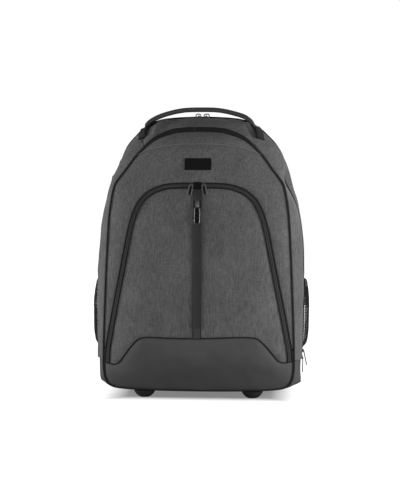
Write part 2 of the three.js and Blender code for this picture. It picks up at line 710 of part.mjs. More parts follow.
// Wheels with axles, front feet
function wheelProfile() {
  const half = wheelWide / 2;
  const points = [
    new THREE.Vector2(axleRadius + axleClear, -half),
    new THREE.Vector2(wheelRadius - wheelTread, -half),
  ];
  const steps = 3;
  for (let k = 1; k < steps; k += 1) {
    const angle = (Math.PI / 2) * (k / steps);
    points.push(new THREE.Vector2(
      wheelRadius - wheelTread + wheelTread * Math.sin(angle), -half + wheelTread * (1 - Math.cos(angle))));
  }
  points.push(new THREE.Vector2(wheelRadius, -half + wheelTread));
  const mirrored = points.map((p) => new THREE.Vector2(p.x, -p.y)).reverse();
  return [...points, ...mirrored, points[0].clone()];
}
for (const { name, sign } of mirrorSides) {
  const geometry = new THREE.LatheGeometry(wheelProfile(), 20);
  geometry.rotateZ(Math.PI / 2);
  geometry.translate(sign * wheelX, wheelSet, wheelRadius);
  add(`wheel_${name}`, toSolid(geometry), rubber);
  add(`axle_${name}`, rodAcross(axleRadius, axleLong, sign * wheelX), steel);
  const centreZ = Math.sqrt(footRadius ** 2 - footFlat ** 2);
  const top = gussetFront(0).z - gap;
  const start = Math.asin(footFlat / footRadius);
  const end = Math.PI / 2 - Math.asin((centreZ - top) / footRadius);
  const domeAt = (a) => new THREE.Vector2(footRadius * Math.sin(a), centreZ - footRadius * Math.cos(a));
  const dome = span(start, end, 5).map(domeAt);
  const foot = new THREE.LatheGeometry([new THREE.Vector2(0, 0), ...dome, new THREE.Vector2(0, top)], 18);
  foot.rotateX(Math.PI / 2);
  foot.translate(sign * wheelX, -footSet, 0);
  add(`front_foot_${name}`, toSolid(foot), rubber);
}

// Pull handle: fixed outer tubes, two sliding stages, grip and button
const tubeFoot = underside + baseWall + 4;
const hollowBar = (wide, deep, low, high, x, y) => roundedBar(wide, deep, 3, low, high, x, y)
  .subtract(roundedBar(wide - 2 * tubeWall, deep - 2 * tubeWall, 2, low - 1, high + 1, x, y));
const stageShrink = 2 * (tubeWall + tubeClear);
let bezel = bezelBody(0);
const gripLow = bezelTop + gap;
const gripTop = gripLow + gripHigh;
let grip = roundedBar(gripWide, gripDeep, 8, gripLow, gripTop, 0, bezelY);
const innerTop = gripLow + gripHigh / 2;
for (const { name, sign } of mirrorSides) {
  const x = (sign * tubeSpacing) / 2;
  const middleWide = tubeWide - stageShrink;
  const middleDeep = tubeDeep - stageShrink;
  add(`outer_tube_${name}`, hollowBar(tubeWide, tubeDeep, tubeFoot, bezelFoot - gap, x, bezelY), darkMetal);
  add(`middle_tube_${name}`, hollowBar(middleWide, middleDeep, tubeFoot + 8, bezelTop, x, bezelY), darkMetal);
  add(`inner_tube_${name}`, roundedBar(middleWide - stageShrink, middleDeep - stageShrink, 2,
    tubeFoot + 16, innerTop, x, bezelY), steel);
  bezel = bezel.subtract(roundedBar(middleWide + 2 * gap, middleDeep + 2 * gap, 3,
    bezelFoot - 1, bezelTop + 1, x, bezelY));
  grip = grip.subtract(roundedBar(middleWide - stageShrink + 2 * gap, middleDeep - stageShrink + 2 * gap, 2,
    gripLow - 1, innerTop + gap, x, bezelY));
}
const buttonDepth = gripHigh * 0.45;
grip = grip.subtract(roundedBar(buttonWide + 2 * gap, buttonDeep + 2 * gap, 3,
  gripTop - buttonDepth, gripTop + 1, 0, bezelY));
add('handle_bezel', bezel, moulded);
add('trolley_grip', grip, moulded);
add('grip_button', roundedBar(buttonWide, buttonDeep, 3, gripTop - buttonDepth + gap + buttonProud,
  gripTop + buttonProud - 1, 0, bezelY), darkMetal);

// A flat bar swept along a line: each stop has its centre, width, thickness and width axis
function sweepGeometry(stops, sides) {
  const sections = stops.map((stop, k) => {
    const before = stops[Math.max(0, k - 1)].centre;
    const after = stops[Math.min(stops.length - 1, k + 1)].centre;
    const along = after.clone().sub(before).normalize();
    const wideAxis = stop.axis.clone().addScaledVector(along, -along.dot(stop.axis)).normalize();
    const thickAxis = along.clone().cross(wideAxis).normalize();
    return Array.from({ length: sides }, (_, i) => {
      const angle = (2 * Math.PI * (i + 0.5)) / sides;
      const squash = (value) => Math.sign(value) * Math.abs(value) ** stop.square;
      return stop.centre.clone()
        .addScaledVector(wideAxis, (squash(Math.cos(angle)) * stop.wide) / 2)
        .addScaledVector(thickAxis, (squash(Math.sin(angle)) * stop.thick) / 2);
    });
  });
  return loftGeometry(sections);
}

// Carry handle: a padded grip over the ridge and a webbing end on each shoulder
const smoothCurve = (points) => new THREE.CatmullRomCurve3(points, false, 'centripetal');
const carryPoint = (row, sign) => new THREE.Vector3(
  (sign * row.x * carrySpan) / 2,
  ridgeDepth + (row.back - 0.5) * carrySet,
  carryTop - carryThick / 2 - row.drop * carryDrop);
const carryHalf = (sign) => carryLine.map((row) => carryPoint(row, sign));
const carryCurve = smoothCurve([...carryHalf(-1).reverse(), ...carryHalf(1).slice(1)]);
const depthAxis = new THREE.Vector3(0, 1, 0);
const carrySteps = 22;
add('carry_handle', sweepGeometry(carryCurve.getSpacedPoints(carrySteps).map((centre, k) => {
  const end = k === 0 || k === carrySteps ? 0.8 : 1;
  return { centre, axis: depthAxis, wide: carryDeep * end, thick: carryThick * end, square: 0.75 };
}), 10), tape);
// Outer side of the front gusset at a row, lifted off it, and the way across it
function onGusset(row, v, lift) {
  const step = 0.02;
  const along = frontBand(row + step, v).sub(frontBand(row - step, v));
  const acrossWay = frontBand(row, v + step).sub(frontBand(row, v - step)).normalize();
  const normal = along.cross(acrossWay).normalize();
  const point = frontBand(row, v);
  normal.multiplyScalar(Math.sign(normal.x * point.x) || 1);
  return { centre: point.addScaledVector(normal, lift), axis: acrossWay };
}
for (const { name, sign } of mirrorSides) {
  const end = carryPoint(carryLine[carryLine.length - 1], sign);
  const before = carryPoint(carryLine[carryLine.length - 2], sign);
  const along = end.clone().sub(before).normalize();
  const lift = carryWebbing / 2 + 3 * gap;
  const forwards = new THREE.Vector3(0, -carryWebbing, 0);
  const seats = [
    { centre: end.clone().addScaledVector(along, 2 * gap), axis: depthAxis.clone() },
    { centre: end.clone().addScaledVector(along, gap + 4), axis: depthAxis.clone() },
    { centre: end.clone().addScaledVector(along, gap + 8).add(forwards), axis: depthAxis.clone() },
    ...carrySeats.map(({ row, lifted }) => onGusset(sign * (cornerRow + row), carrySeat, lift + lifted)),
  ];
  const stops = seats.map(({ centre, axis }) => (
    { centre, axis, wide: carryWebbingWide, thick: carryWebbing, square: 0.4 }));
  add(`carry_webbing_${name}`, sweepGeometry(stops, 8), tape);
}

// Shoulder straps with lower webbing and ladder buckles
const sideAxis = new THREE.Vector3(1, 0, 0);
for (const { name, sign } of mirrorSides) {
  const back = backFace + gap + (strapThick * strapLine[0].thick) / 2;
  const point = (row) => new THREE.Vector3(
    (sign * row.x * strapSpacing) / 2, back + row.out * strapStand, strapTop - strapReach * (1 - row.z));
  const curve = smoothCurve(strapLine.map(point));
  const steps = 14;
  const stops = curve.getPoints(steps).map((centre, k) => {
    const place = (k / steps) * (strapLine.length - 1);
    const i = Math.min(strapLine.length - 2, Math.floor(place));
    const read = (key) => lerp(strapLine[i][key], strapLine[i + 1][key], place - i);
    const [wide, thick] = [read('wide') * strapWide, read('thick') * strapThick];
    return { centre, axis: sideAxis, wide, thick, square: 0.6 };
  });
  add(`shoulder_strap_${name}`, sweepGeometry(stops, 10), cloth);
  const end = point(strapLine[strapLine.length - 1]);
  const buckleTop = end.z - gap - 2.4;
  const buckleCentre = new THREE.Vector3(end.x + sign * 1.5, end.y, buckleTop - buckleHigh / 2);
  let buckle = block([buckleWide, buckleThick, buckleHigh], buckleCentre.toArray());
  for (const rise of [-0.2, 0.2]) {
    buckle = buckle.subtract(block([webbingWide + 1.6, buckleThick * 2, buckleHigh * 0.24],
      [buckleCentre.x, buckleCentre.y, buckleCentre.z + rise * buckleHigh]));
  }
  add(`strap_buckle_${name}`, buckle, moulded);
  const foot = offsetPoint('back', sign * (seamRow + 0.6), -14);
  const lineEnd = new THREE.Vector3(foot.x, backFace + gap + webbingThick, foot.z);
  const behindBuckle = buckleCentre.y + (buckleThick + webbingThick) / 2 + gap;
  const lineStart = new THREE.Vector3(buckleCentre.x, behindBuckle, buckleTop - 3);
  const passing = lineStart.clone().add(new THREE.Vector3(sign, 0.3, -buckleHigh + 1));
  const near = lineEnd.clone().add(new THREE.Vector3(-sign * 9, 3.5, 16));
  const halfway = passing.clone().lerp(near, 0.5).add(new THREE.Vector3(0, 2, 0));
  const webbing = smoothCurve([lineStart, passing, halfway, near, lineEnd]);
  add(`strap_webbing_${name}`, sweepGeometry(webbing.getPoints(10).map((centre) => (
    { centre, axis: sideAxis, wide: webbingWide, thick: webbingThick, square: 0.4 })), 8), tape);
}

// Side pockets on the rear gusset: a net skin with a bound top edge
function sideRow(z) {
  let low = seamRow;
  let high = rowAt('upper side');
  for (let k = 0; k < 30; k += 1) {
    const middle = (low + high) / 2;
    if (outlinePoint('ridge', middle).z < z) low = middle;
    else high = middle;
  }
  return (low + high) / 2;
}
const bindingFoot = 0.9;
for (const { name, sign } of mirrorSides) {
  const skin = (lift) => (up, v) => {
    const row = sign * sideRow(lerp(pocketFoot, pocketHead, up));
    const w = lerp(0.06, 0.94, v);
    const p = rearBand(row, w);
    const flank = Math.sin(Math.PI * THREE.MathUtils.clamp(v, 0, 1)) ** 0.55;
    p.x += sign * (gap + pocketWall + lift + pocketBulge * flank * readTable(pocketRise, 'up', 'rise', up));
    return p;
  };
  const shell = (lift, wall, fromUp, toUp, count) => {
    const outer = span(fromUp, toUp, count).map((up) => span(0, 1, 8).map((v) => skin(lift)(up, v)));
    const inner = outer.map((line) => line.map((p) => p.clone().add(new THREE.Vector3(-sign * wall, 0, 0))));
    return gridGeometry(outer, inner);
  };
  add(`mesh_pocket_${name}`, shell(0, pocketWall, 0, bindingFoot - 0.004, 7), dark);
  add(`pocket_binding_${name}`, shell(0.5, bindingWall - 0.2, bindingFoot, 1, 2), tape);
}

// Zip sliders, each with its pull: body length along the zip, pull hanging from it
function sliderSolid({ bodyWide, bodyLong, bodyHigh, pullWide, pullLong, pullThick, slot }) {
  const body = block([bodyWide, bodyHigh, bodyLong], [0, -bodyHigh / 2, 0]);
  const pullTop = bodyLong * 0.3;
  const pullY = -bodyHigh - pullThick / 2 + 0.5;
  const pull = block([pullWide, pullThick, pullLong], [0, pullY, pullTop - pullLong / 2])
    .subtract(block([pullWide - 2 * slot, pullThick * 3, pullLong * 0.55],
      [0, pullY, pullTop - pullLong * 0.62]));
  return body.add(pull);
}
function placeSlider(name, solid, at, turn, material) {
  const geometry = toGeometry(solid);
  geometry.applyMatrix4(new THREE.Matrix4().makeRotationFromEuler(new THREE.Euler(...turn)));
  geometry.translate(at.x, at.y, at.z);
  geometry.computeVertexNormals();
  add(name, geometry, material);
}
const smallSlider = {
  bodyWide: 8, bodyLong: 10, bodyHigh: 3, pullWide: 5, pullLong: 19, pullThick: 1.4, slot: 1.4 };
const bodyHalf = 4;
function placeOnFace(name, solid, x, z, proud, material) {
  const above = facetDepth(x, z + bodyHalf);
  const below = facetDepth(x, z - bodyHalf);
  const slope = (above - below) / (2 * bodyHalf);
  const depth = Math.min(facetDepth(x, z), (above + below) / 2);
  placeSlider(name, solid, { x, y: depth - proud - gap, z }, [-Math.atan(slope), 0, 0], material);
}
for (const { name, sign } of mirrorSides) {
  placeOnFace(`arch_slider_${name}`, sliderSolid({ ...smallSlider, bodyLong: 8 }),
    sign * 10.5, heightOf(arch[0].z), archZipProud, darkMetal);
}
placeOnFace('centre_slider', sliderSolid({ ...smallSlider, pullWide: 9, pullLong: 30, slot: 2 }),
  0, centreZipHead - 21, centreZipProud, darkMetal);
const ridgeSlider = {
  bodyWide: 7, bodyLong: 9, bodyHigh: 2.6, pullWide: 9, pullLong: 15, pullThick: 1.6, slot: 1.8 };
for (const { name, sign } of mirrorSides) {
  const top = outlinePoint('ridge', lastRow);
  placeSlider(`ridge_slider_${name}`, sliderSolid(ridgeSlider),
    { x: sign * 6.6, y: top.y, z: top.z + zipProud + gap }, [-Math.PI / 2, 0, 0], darkMetal);
}
const sideSliders = [
  { name: 'upper', z: heightOf(0.146), bodyHigh: 3.8, swing: 0.34 },
  { name: 'lower', z: heightOf(0.113), bodyHigh: 3, swing: -0.3 },
];
for (const { name, z, bodyHigh, swing } of sideSliders) {
  const p = ridgeEdge(sideRow(z), 0, zipProud + gap + 0.4);
  const sizes = { ...smallSlider, bodyHigh, bodyLong: 8, pullWide: 4, pullLong: 24 };
  const turn = [swing, 0, Math.PI / 2];
  placeSlider(`side_slider_${name}`, sliderSolid(sizes), { x: p.x, y: p.y, z }, turn, steel);
}

// Depth centred on the whole, floor at zero
new THREE.Box3().setFromObject(bag).getCenter(boxCentre);
bag.position.y = -boxCentre.y;

export default bag;
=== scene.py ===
import math
import bmesh
import bpy
import numpy as np
from mathutils import Matrix, Vector, noise


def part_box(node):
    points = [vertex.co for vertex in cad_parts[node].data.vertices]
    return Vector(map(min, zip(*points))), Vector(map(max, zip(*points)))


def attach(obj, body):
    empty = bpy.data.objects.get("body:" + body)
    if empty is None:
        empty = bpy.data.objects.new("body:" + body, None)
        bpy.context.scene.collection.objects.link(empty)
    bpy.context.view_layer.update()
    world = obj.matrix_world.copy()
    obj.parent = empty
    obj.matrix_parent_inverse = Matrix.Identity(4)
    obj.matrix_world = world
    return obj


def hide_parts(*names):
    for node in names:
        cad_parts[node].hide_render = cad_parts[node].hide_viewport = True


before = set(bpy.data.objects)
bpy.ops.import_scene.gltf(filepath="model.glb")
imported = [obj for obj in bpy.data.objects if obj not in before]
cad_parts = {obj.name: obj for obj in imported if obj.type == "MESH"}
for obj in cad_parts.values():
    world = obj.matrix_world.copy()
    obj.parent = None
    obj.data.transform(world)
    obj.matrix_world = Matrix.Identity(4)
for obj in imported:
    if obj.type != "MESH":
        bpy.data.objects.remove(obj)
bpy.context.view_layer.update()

mm = 0.001
wheelSet = 70  # the wheels' depth in the bag's own millimetres, before the whole is centred
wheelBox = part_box("wheel_left")
depthShift = (wheelBox[0][1] + wheelBox[1][1]) / 2 / mm - wheelSet

# camera, at the photograph's angle

camera = {"azimuth": 4.5, "elevation": 4.0, "distance": 2700, "aim": (0, -50, 247),
          "focalPixels": 1588.2, "imageLong": 500, "aimAcross": 198.67, "aimDown": 252.41,
          "imageCentre": (200, 250)}


def makeCamera():
    azimuth = math.radians(camera["azimuth"])
    elevation = math.radians(camera["elevation"])
    back = Vector((math.sin(azimuth) * math.cos(elevation),
                   -math.cos(azimuth) * math.cos(elevation), math.sin(elevation)))
    aim = Vector(camera["aim"]) + Vector((0, depthShift, 0))
    data = bpy.data.cameras.new("photoCamera")
    data.sensor_width = 36
    data.lens = camera["focalPixels"] / camera["imageLong"] * data.sensor_width
    data.shift_x = (camera["imageCentre"][0] - camera["aimAcross"]) / camera["imageLong"]
    data.shift_y = (camera["aimDown"] - camera["imageCentre"][1]) / camera["imageLong"]
    data.clip_start = 0.1
    data.clip_end = 50
    view = bpy.data.objects.new("photoCamera", data)
    bpy.context.collection.objects.link(view)
    view.rotation_mode = "QUATERNION"
    view.rotation_quaternion = (-back).to_track_quat("-Z", "Y")
    view.location = (aim + back * camera["distance"]) * mm
    bpy.context.scene.camera = view


makeCamera()
print("camera set")

# the bag's measures and seam lines, in millimetres

bag = {"width": 357, "height": 460, "underside": 15, "seamDepth": 58, "faceCrown": 36,
       "ridgeRun": 16, "ridgeDepth": 6, "backDepth": 74, "gussetBulge": 5, "gap": 0.3}
halfWidth = bag["width"] / 2


def heightOf(share):
    return bag["underside"] + share * bag["height"]


# from the middle of the underside round the right side to the middle of the top
outline = {
    "frontX": [0, .448, .717, .835, .888, .91, .913, .909, .896, .881, .862, .839, .81, .762, .699,
               .622, .527, .422, .291, .19, 0],
    "frontZ": [-.001, 0, .002, .009, .029, .063, .107, .215, .365, .496, .624, .698, .75, .78, .812,
               .853, .893, .926, .947, .955, .958],
    "ridgeX": [0, .493, .825, .962, .991, .996, .997, 1.002, 1.001, .99, .958, .906, .868, .832,
               .796, .734, .639, .549, .426, .269, 0],
    "ridgeZ": [0, 0, .001, .005, .018, .05, .1, .217, .38, .502, .62, .709, .763, .807, .846, .895,
               .936, .962, .987, .997, 1.001],
    "backX": [0, .471, .762, .874, .924, .944, .95, .955, .954, .943, .913, .866, .826, .79, .745,
              .672, .577, .487, .381, .246, 0],
    "backZ": [.004, .004, .005, .014, .037, .065, .1, .217, .38, .502, .615, .696, .75, .793, .833,
              .874, .908, .927, .94, .947, .95],
    "ridgeY": [0, 0, 0, 0, 0, 0, 0, 0, 0, 0, .03, .12, .25, .38, .44, .56, .69, .81, .91, .97, 1],
    "piping": [.3, .3, .3, .3, .3, .3, .3, .3, .3, .3, .3, .3, .3, .32, .34, .38, .5, .76, .95, 1,
               1],
}
lastRow = len(outline["frontX"]) - 1
seamRow, upperRow, cornerRow = 6, 10, 16
pipingWide = 8.4

face = {
    "z": [-.033, -.002, .098, .207, .402, .62, .698, .75, .79, .837, .893, .926, .947, .959, .989],
    "side": [1, 1, 1, .983, .948, .888, .845, .802, .745, .672, .57, .505, .46, .431, .345],
    "crown": [.556, .583, .889, 1, .972, .847, .785, .736, .7, .665, .62, .42, .2, .083, .028],
    "wide": [.913, .913, .913, .913, .896, .863, .84, .81, .745, .655, .53, .425, .31, .29, .28],
}
crownPower = 2.6
archLine = [(0, .752), (.179, .752), (.325, .746), (.446, .727), (.536, .697), (.597, .654),
            (.637, .606), (.682, .524), (.732, .424), (.784, .323), (.835, .219), (.871, .135),
            (.88, .05)]
baseLine = [(0, .195), (.235, .198), (.482, .199), (.57, .193), (.645, .166), (.71, .135),
            (.765, .109), (.815, .101), (.875, .103), (.96, .108)]
baseLineLeft = [(0, .195), (.235, .195), (.482, .196), (.557, .189), (.627, .163), (.693, .13),
                (.749, .101), (.796, .09), (.864, .0925), (.96, .098)]
crescentLine = [(0, .904), (.18, .903), (.36, .894), (.485, .882), (.62, .858)]


def smoothTable(rows, values):
    # Smooth reading of a table, without overshoot.
    x = np.array(rows, float)
    y = np.array(values, float)
    slope = np.diff(y) / np.diff(x)
    tangent = np.zeros(len(x))
    tangent[0], tangent[-1] = slope[0], slope[-1]
    tangent[1:-1] = np.where(slope[:-1] * slope[1:] <= 0, 0, (slope[:-1] + slope[1:]) / 2)

    def read(at):
        at = np.clip(np.asarray(at, float), x[0], x[-1])
        i = np.clip(np.searchsorted(x, at, side="right") - 1, 0, len(x) - 2)
        run = x[i + 1] - x[i]
        t = (at - x[i]) / run
        rise = y[i + 1] - y[i]
        a, b = tangent[i] * run, tangent[i + 1] * run
        return y[i] + a * t + (3 * rise - 2 * a - b) * t ** 2 + (a + b - 2 * rise) * t ** 3
    return read


faceSide, faceCrown, faceWide = (smoothTable(face["z"], face[key]) for key in ("side", "crown", "wide"))


def faceDepth(x, z):
    share = (np.asarray(z, float) - bag["underside"]) / bag["height"]
    reach = np.minimum(1, np.abs(x) / (faceWide(share) * halfWidth))
    crown = faceCrown(share) * bag["faceCrown"]
    return -faceSide(share) * bag["seamDepth"] - crown * (1 - reach ** crownPower)


def outlineColumn(key, row):
    # One column of the outline, smooth between its rows; negative rows are the left side.
    turn = -1 if key.endswith("X") else 1
    values = outline[key]
    padded = np.array([turn * values[1]] + values + [turn * values[-2]])
    r = np.minimum(lastRow, np.abs(row))
    i = np.minimum(lastRow - 1, np.floor(r)).astype(int)
    t = r - i
    a, b, c, d = padded[i], padded[i + 1], padded[i + 2], padded[i + 3]
    return b + 0.5 * t * (c - a + t * (2 * a - 5 * b + 4 * c - d + t * (3 * (b - c) + d - a)))


leans = [  # where a seam lies off the outline: its row, reach in rows, and millimetres to the right
    {"row": -13.2, "rows": 2.6, "by": 4.5, "seams": ("ridge", "back")},
    {"row": 12.1, "rows": 1.15, "by": -10.0, "seams": ("ridge",)},
    {"row": 5.4, "rows": 2.2, "by": -5.0, "seams": ("ridge",)},
]


def seamPoint(seam, row, out=0.0):
    # x, z of a seam at a row, moved outwards.
    row = np.asarray(row, float)

    def at(r):
        side = np.where(r < 0, -1.0, 1.0)
        return side * outlineColumn(seam + "X", r) * halfWidth, heightOf(outlineColumn(seam + "Z", r))
    x, z = at(row)
    for lean in leans:
        if seam in lean["seams"]:
            x = x + lean["by"] * np.exp(-((row - lean["row"]) / lean["rows"]) ** 2)
    xa, za = at(np.maximum(-lastRow, row - 0.05))
    xb, zb = at(np.minimum(lastRow, row + 0.05))
    long = np.hypot(xb - xa, zb - za)
    nx, nz = (zb - za) / long, -(xb - xa) / long
    return x + nx * out, z + nz * out, nx, nz


def ridgeY(row):
    return bag["ridgeDepth"] + outlineColumn("ridgeY", row) * bag["ridgeRun"]


# the piping's width, at least 3.1 mm: on the sides and underside the dark band is wider than the piping alone, partly
# painted shade for the shadow gap between the front panel and the gussets
def pipingAndGapShadeAt(row):
    return np.maximum(3.1, outlineColumn("piping", row) * pipingWide)


def spline(points, perSpan):
    # Smooth points through a short list of points, with even spans.
    p = [np.array(q, float) for q in points]
    p = [2 * p[0] - p[1]] + p + [2 * p[-1] - p[-2]]
    found = []
    for k in range(1, len(p) - 2):
        a, b, c, d = p[k - 1:k + 3]
        da, db, dc = (max(1e-4, np.linalg.norm(n - m) ** 0.5) for m, n in ((a, b), (b, c), (c, d)))
        ta = ((b - a) / da - (c - a) / (da + db) + (c - b) / db) * db
        tb = ((c - b) / db - (d - b) / (db + dc) + (d - c) / dc) * db
        for step in range(perSpan):
            t = step / perSpan
            found.append(b + ta * t + (3 * (c - b) - 2 * ta - tb) * t * t + (ta + tb - 2 * (c - b)) * t ** 3)
    found.append(p[-2])
    return np.array(found)


def mirroredLine(half, leftHalf=None, perSpan=8):
    # a seam across the front, left to right, from its halves in shares
    right = [(x * halfWidth, heightOf(z)) for x, z in half]
    left = [(-x * halfWidth, heightOf(z)) for x, z in (leftHalf or half)[1:]][::-1]
    return spline(left + right, perSpan)


def lineNormals(line):
    way = np.gradient(line, axis=0)
    way /= np.linalg.norm(way, axis=1)[:, None]
    return np.stack([-way[:, 1], way[:, 0]], axis=1)


def closedBelow(line, low, wide=None):
    # The region under a line: the line closed far below, or to the sides first.
    ends = [(wide * math.copysign(1, p[0]), p[1]) if wide else tuple(p) for p in (line[0], line[-1])]
    return np.array([(ends[0][0], low), ends[0]] + [tuple(p) for p in line] + [ends[1], (ends[1][0], low)])


def distanceTo(loop):
    # Distance to a closed loop, less than zero inside it.
    a = np.asarray(loop, float)
    a = a[np.linalg.norm(a - np.roll(a, -1, axis=0), axis=1) > 1e-6]
    b = np.roll(a, -1, axis=0)
    e = b - a
    size = (e ** 2).sum(axis=1)

    def measure(x, z):
        p = np.stack([np.asarray(x, float), np.asarray(z, float)], axis=1)
        found = np.empty(len(p))
        for start in range(0, len(p), 4000):
            q = p[start:start + 4000, None, :] - a[None]
            t = np.clip((q * e).sum(axis=2) / size, 0, 1)
            near = np.sqrt(((q - t[..., None] * e) ** 2).sum(axis=2)).min(axis=1)
            za, zb = a[None, :, 1], b[None, :, 1]
            zp = p[start:start + 4000, None, 1]
            crosses = (za > zp) != (zb > zp)
            rise = np.where(zb == za, 1e-9, zb - za)
            crossX = a[None, :, 0] + (zp - za) / rise * e[None, :, 0]
            inside = (crosses & (p[start:start + 4000, None, 0] < crossX)).sum(axis=1) % 2 == 1
            found[start:start + 4000] = np.where(inside, -near, near)
        return found
    return measure


rowsRound = np.arange(-lastRow + 0.25, lastRow + 0.01, 0.25)


def seamLoop(seam, out):
    x, z, _, _ = seamPoint(seam, rowsRound, out)
    return np.stack([x, z], axis=1)


arch = mirroredLine(archLine)
archOut = 5.0
archNormal = lineNormals(arch)
baseSeam = mirroredLine(baseLine, baseLineLeft)
crescentSeam = mirroredLine(crescentLine)
far = halfWidth * 1.3
insidePiping = distanceTo(seamLoop("front", -pipingAndGapShadeAt(rowsRound) / 2 + 0.3))
belowBase = distanceTo(closedBelow(baseSeam, -80, far))
aboveCrescent = distanceTo(closedBelow(crescentSeam, heightOf(1.3), far))
underArch = distanceTo(closedBelow(arch + archNormal * archOut, -80))
inPocket = distanceTo(closedBelow(arch - archNormal * archOut, -80))

# soft forms: where the cloth swells, folds and draws in

frontFolds = [  # low ridges and hollows on the front: from, to, half width, height
    {"from": (-92, 420), "to": (-60, 392), "wide": 7, "high": 0.9},
    {"from": (88, 416), "to": (62, 388), "wide": 7, "high": 0.8},
    {"from": (-150, 300), "to": (-118, 330), "wide": 10, "high": 0.8},
    {"from": (150, 312), "to": (118, 345), "wide": 10, "high": 0.9},
    {"from": (-40, 392), "to": (-12, 376), "wide": 9, "high": -0.7},
    {"from": (40, 390), "to": (14, 374), "wide": 9, "high": -0.6},
    {"from": (-126, 150), "to": (-86, 176), "wide": 11, "high": 0.9},
    {"from": (128, 150), "to": (84, 180), "wide": 11, "high": 0.8},
    {"from": (-104, 262), "to": (-52, 252), "wide": 16, "high": 0.7},
    {"from": (96, 258), "to": (48, 240), "wide": 16, "high": -0.7},
    {"from": (-14, 200), "to": (-60, 150), "wide": 13, "high": 0.8},
    {"from": (14, 210), "to": (66, 152), "wide": 13, "high": 0.7},
    {"from": (-120, 60), "to": (-30, 74), "wide": 14, "high": 0.7},
    {"from": (118, 58), "to": (34, 76), "wide": 14, "high": 0.6},
]


def foldHeight(x, z, folds):
    total = np.zeros(len(x))
    for fold in folds:
        a = np.array(fold["from"], float)
        b = np.array(fold["to"], float)
        e = b - a
        t = ((x - a[0]) * e[0] + (z - a[1]) * e[1]) / (e @ e)
        off = np.hypot(x - a[0] - t * e[0], z - a[1] - t * e[1])
        taper = np.exp(-np.maximum(0, np.abs(t - 0.5) - 0.2) ** 2 / 0.08)
        total += fold["high"] * np.exp(-(off / fold["wide"]) ** 2) * taper
    return total


def softNoise(points, size, seed=0):
    # Smooth unevenness about zero, of about that size in millimetres.
    return np.array([noise.noise(Vector((p[0] / size + seed, p[1] / size, p[2] / size))) for p in points])


# making meshes

def gridMesh(along, across):
    # A flat grid as a bmesh with its u and v from 0 to 1.
    bm = bmesh.new()
    bmesh.ops.create_grid(bm, x_segments=along, y_segments=across, size=0.5)
    flat = np.array([tuple(v.co) for v in bm.verts])
    return bm, flat[:, 0] + 0.5, flat[:, 1] + 0.5


def moveTo(bm, points):
    for vertex, point in zip(bm.verts, points):
        vertex.co = point


def surfaceNormals(bm):
    bm.normal_update()
    return np.array([tuple(v.normal) for v in bm.verts])


def addUv(bm, u, v):
    layer = bm.loops.layers.uv.new("cloth")
    for vertex in bm.verts:
        for loop in vertex.link_loops:
            loop[layer].uv = (u[vertex.index], v[vertex.index])


def thicken(bm, wall, outward):
    # Gives a sheet its wall, on the inner side; outward is the rough way out of the bag.
    bm.normal_update()
    facing = sum((f.normal.dot(outward(f.calc_center_median())) for f in bm.faces))
    if facing < 0:
        bmesh.ops.reverse_faces(bm, faces=bm.faces[:])
    bm.normal_update()
    inward = bm.verts.layers.float_vector.new("inward")
    for vertex in bm.verts:
        vertex[inward] = vertex.normal
    grown = bmesh.ops.extrude_face_region(bm, geom=bm.faces[:], use_keep_orig=True)
    for vertex in grown["geom"]:
        if isinstance(vertex, bmesh.types.BMVert):
            vertex.co -= vertex[inward] * wall
    bm.verts.layers.float_vector.remove(inward)
    bmesh.ops.recalc_face_normals(bm, faces=bm.faces[:])


def sweep(centres, axes, wide, thick, sides=16, square=0.7, uvScale=None):
    # A closed bar swept along points: each has a width axis, width and thickness.
    count = len(centres) - 1
    along = np.gradient(centres, axis=0)
    along /= np.linalg.norm(along, axis=1)[:, None]
    across = axes - along * (axes * along).sum(axis=1)[:, None]
    across /= np.linalg.norm(across, axis=1)[:, None]
    up = np.cross(along, across)
    run = np.concatenate([[0], np.cumsum(np.linalg.norm(np.diff(centres, axis=0), axis=1))])
    bm, u, v = gridMesh(count, sides)
    k = np.rint(u * count).astype(int)
    angle = 2 * math.pi * v
    c, s = np.cos(angle), np.sin(angle)
    a = np.sign(c) * np.abs(c) ** square * wide[k] / 2
    b = np.sign(s) * np.abs(s) ** square * thick[k] / 2
    moveTo(bm, centres[k] + across[k] * a[:, None] + up[k] * b[:, None])
    addUv(bm, run[k] * mm, 0.5 + a / np.maximum(1e-6, wide[k]))
    bmesh.ops.remove_doubles(bm, verts=bm.verts[:], dist=0.01)
    bmesh.ops.holes_fill(bm, edges=[e for e in bm.edges if e.is_boundary], sides=0)
    bmesh.ops.recalc_face_normals(bm, faces=bm.faces[:])
    return bm


def makePiece(name, bm, material, nodes=(), body="bag", smooth=50, close=False):
    # Ends a piece: into metres and the shared frame, then its body, nodes and finish.
    if close:
        bmesh.ops.remove_doubles(bm, verts=bm.verts[:], dist=0.01)
        bmesh.ops.holes_fill(bm, edges=[e for e in bm.edges if e.is_boundary], sides=0)
        bmesh.ops.recalc_face_normals(bm, faces=bm.faces[:])
    bmesh.ops.translate(bm, vec=(0, depthShift, 0), verts=bm.verts[:])
    bmesh.ops.scale(bm, vec=(mm, mm, mm), verts=bm.verts[:])
    mesh = bpy.data.meshes.new(name)
    bm.to_mesh(mesh)
    bm.free()
    mesh.polygons.foreach_set("use_smooth", [True] * len(mesh.polygons))
    mesh.set_sharp_from_angle(angle=math.radians(smooth))
    piece = bpy.data.objects.new(name, mesh)
    bpy.context.collection.objects.link(piece)
    mesh.materials.append(material)
    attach(piece, body)
    if nodes:
        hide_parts(*nodes)
    return piece


def forwardOut(point):
    return Vector((0, -1, 0))


def sideOut(point):
    return Vector((point[0], 0, point[2] - 240)).normalized()


def backOut(point):
    return Vector((0, 1, 0))


# materials

def nodesOf(tree):
    tree.nodes.clear()

    def add(kind, **settings):
        node = tree.nodes.new(kind)
        for key, value in settings.items():
            if hasattr(node, key):
                setattr(node, key, value)
            else:
                node.inputs[key.replace("_", " ")].default_value = value
        return node
    return add, tree.links.new


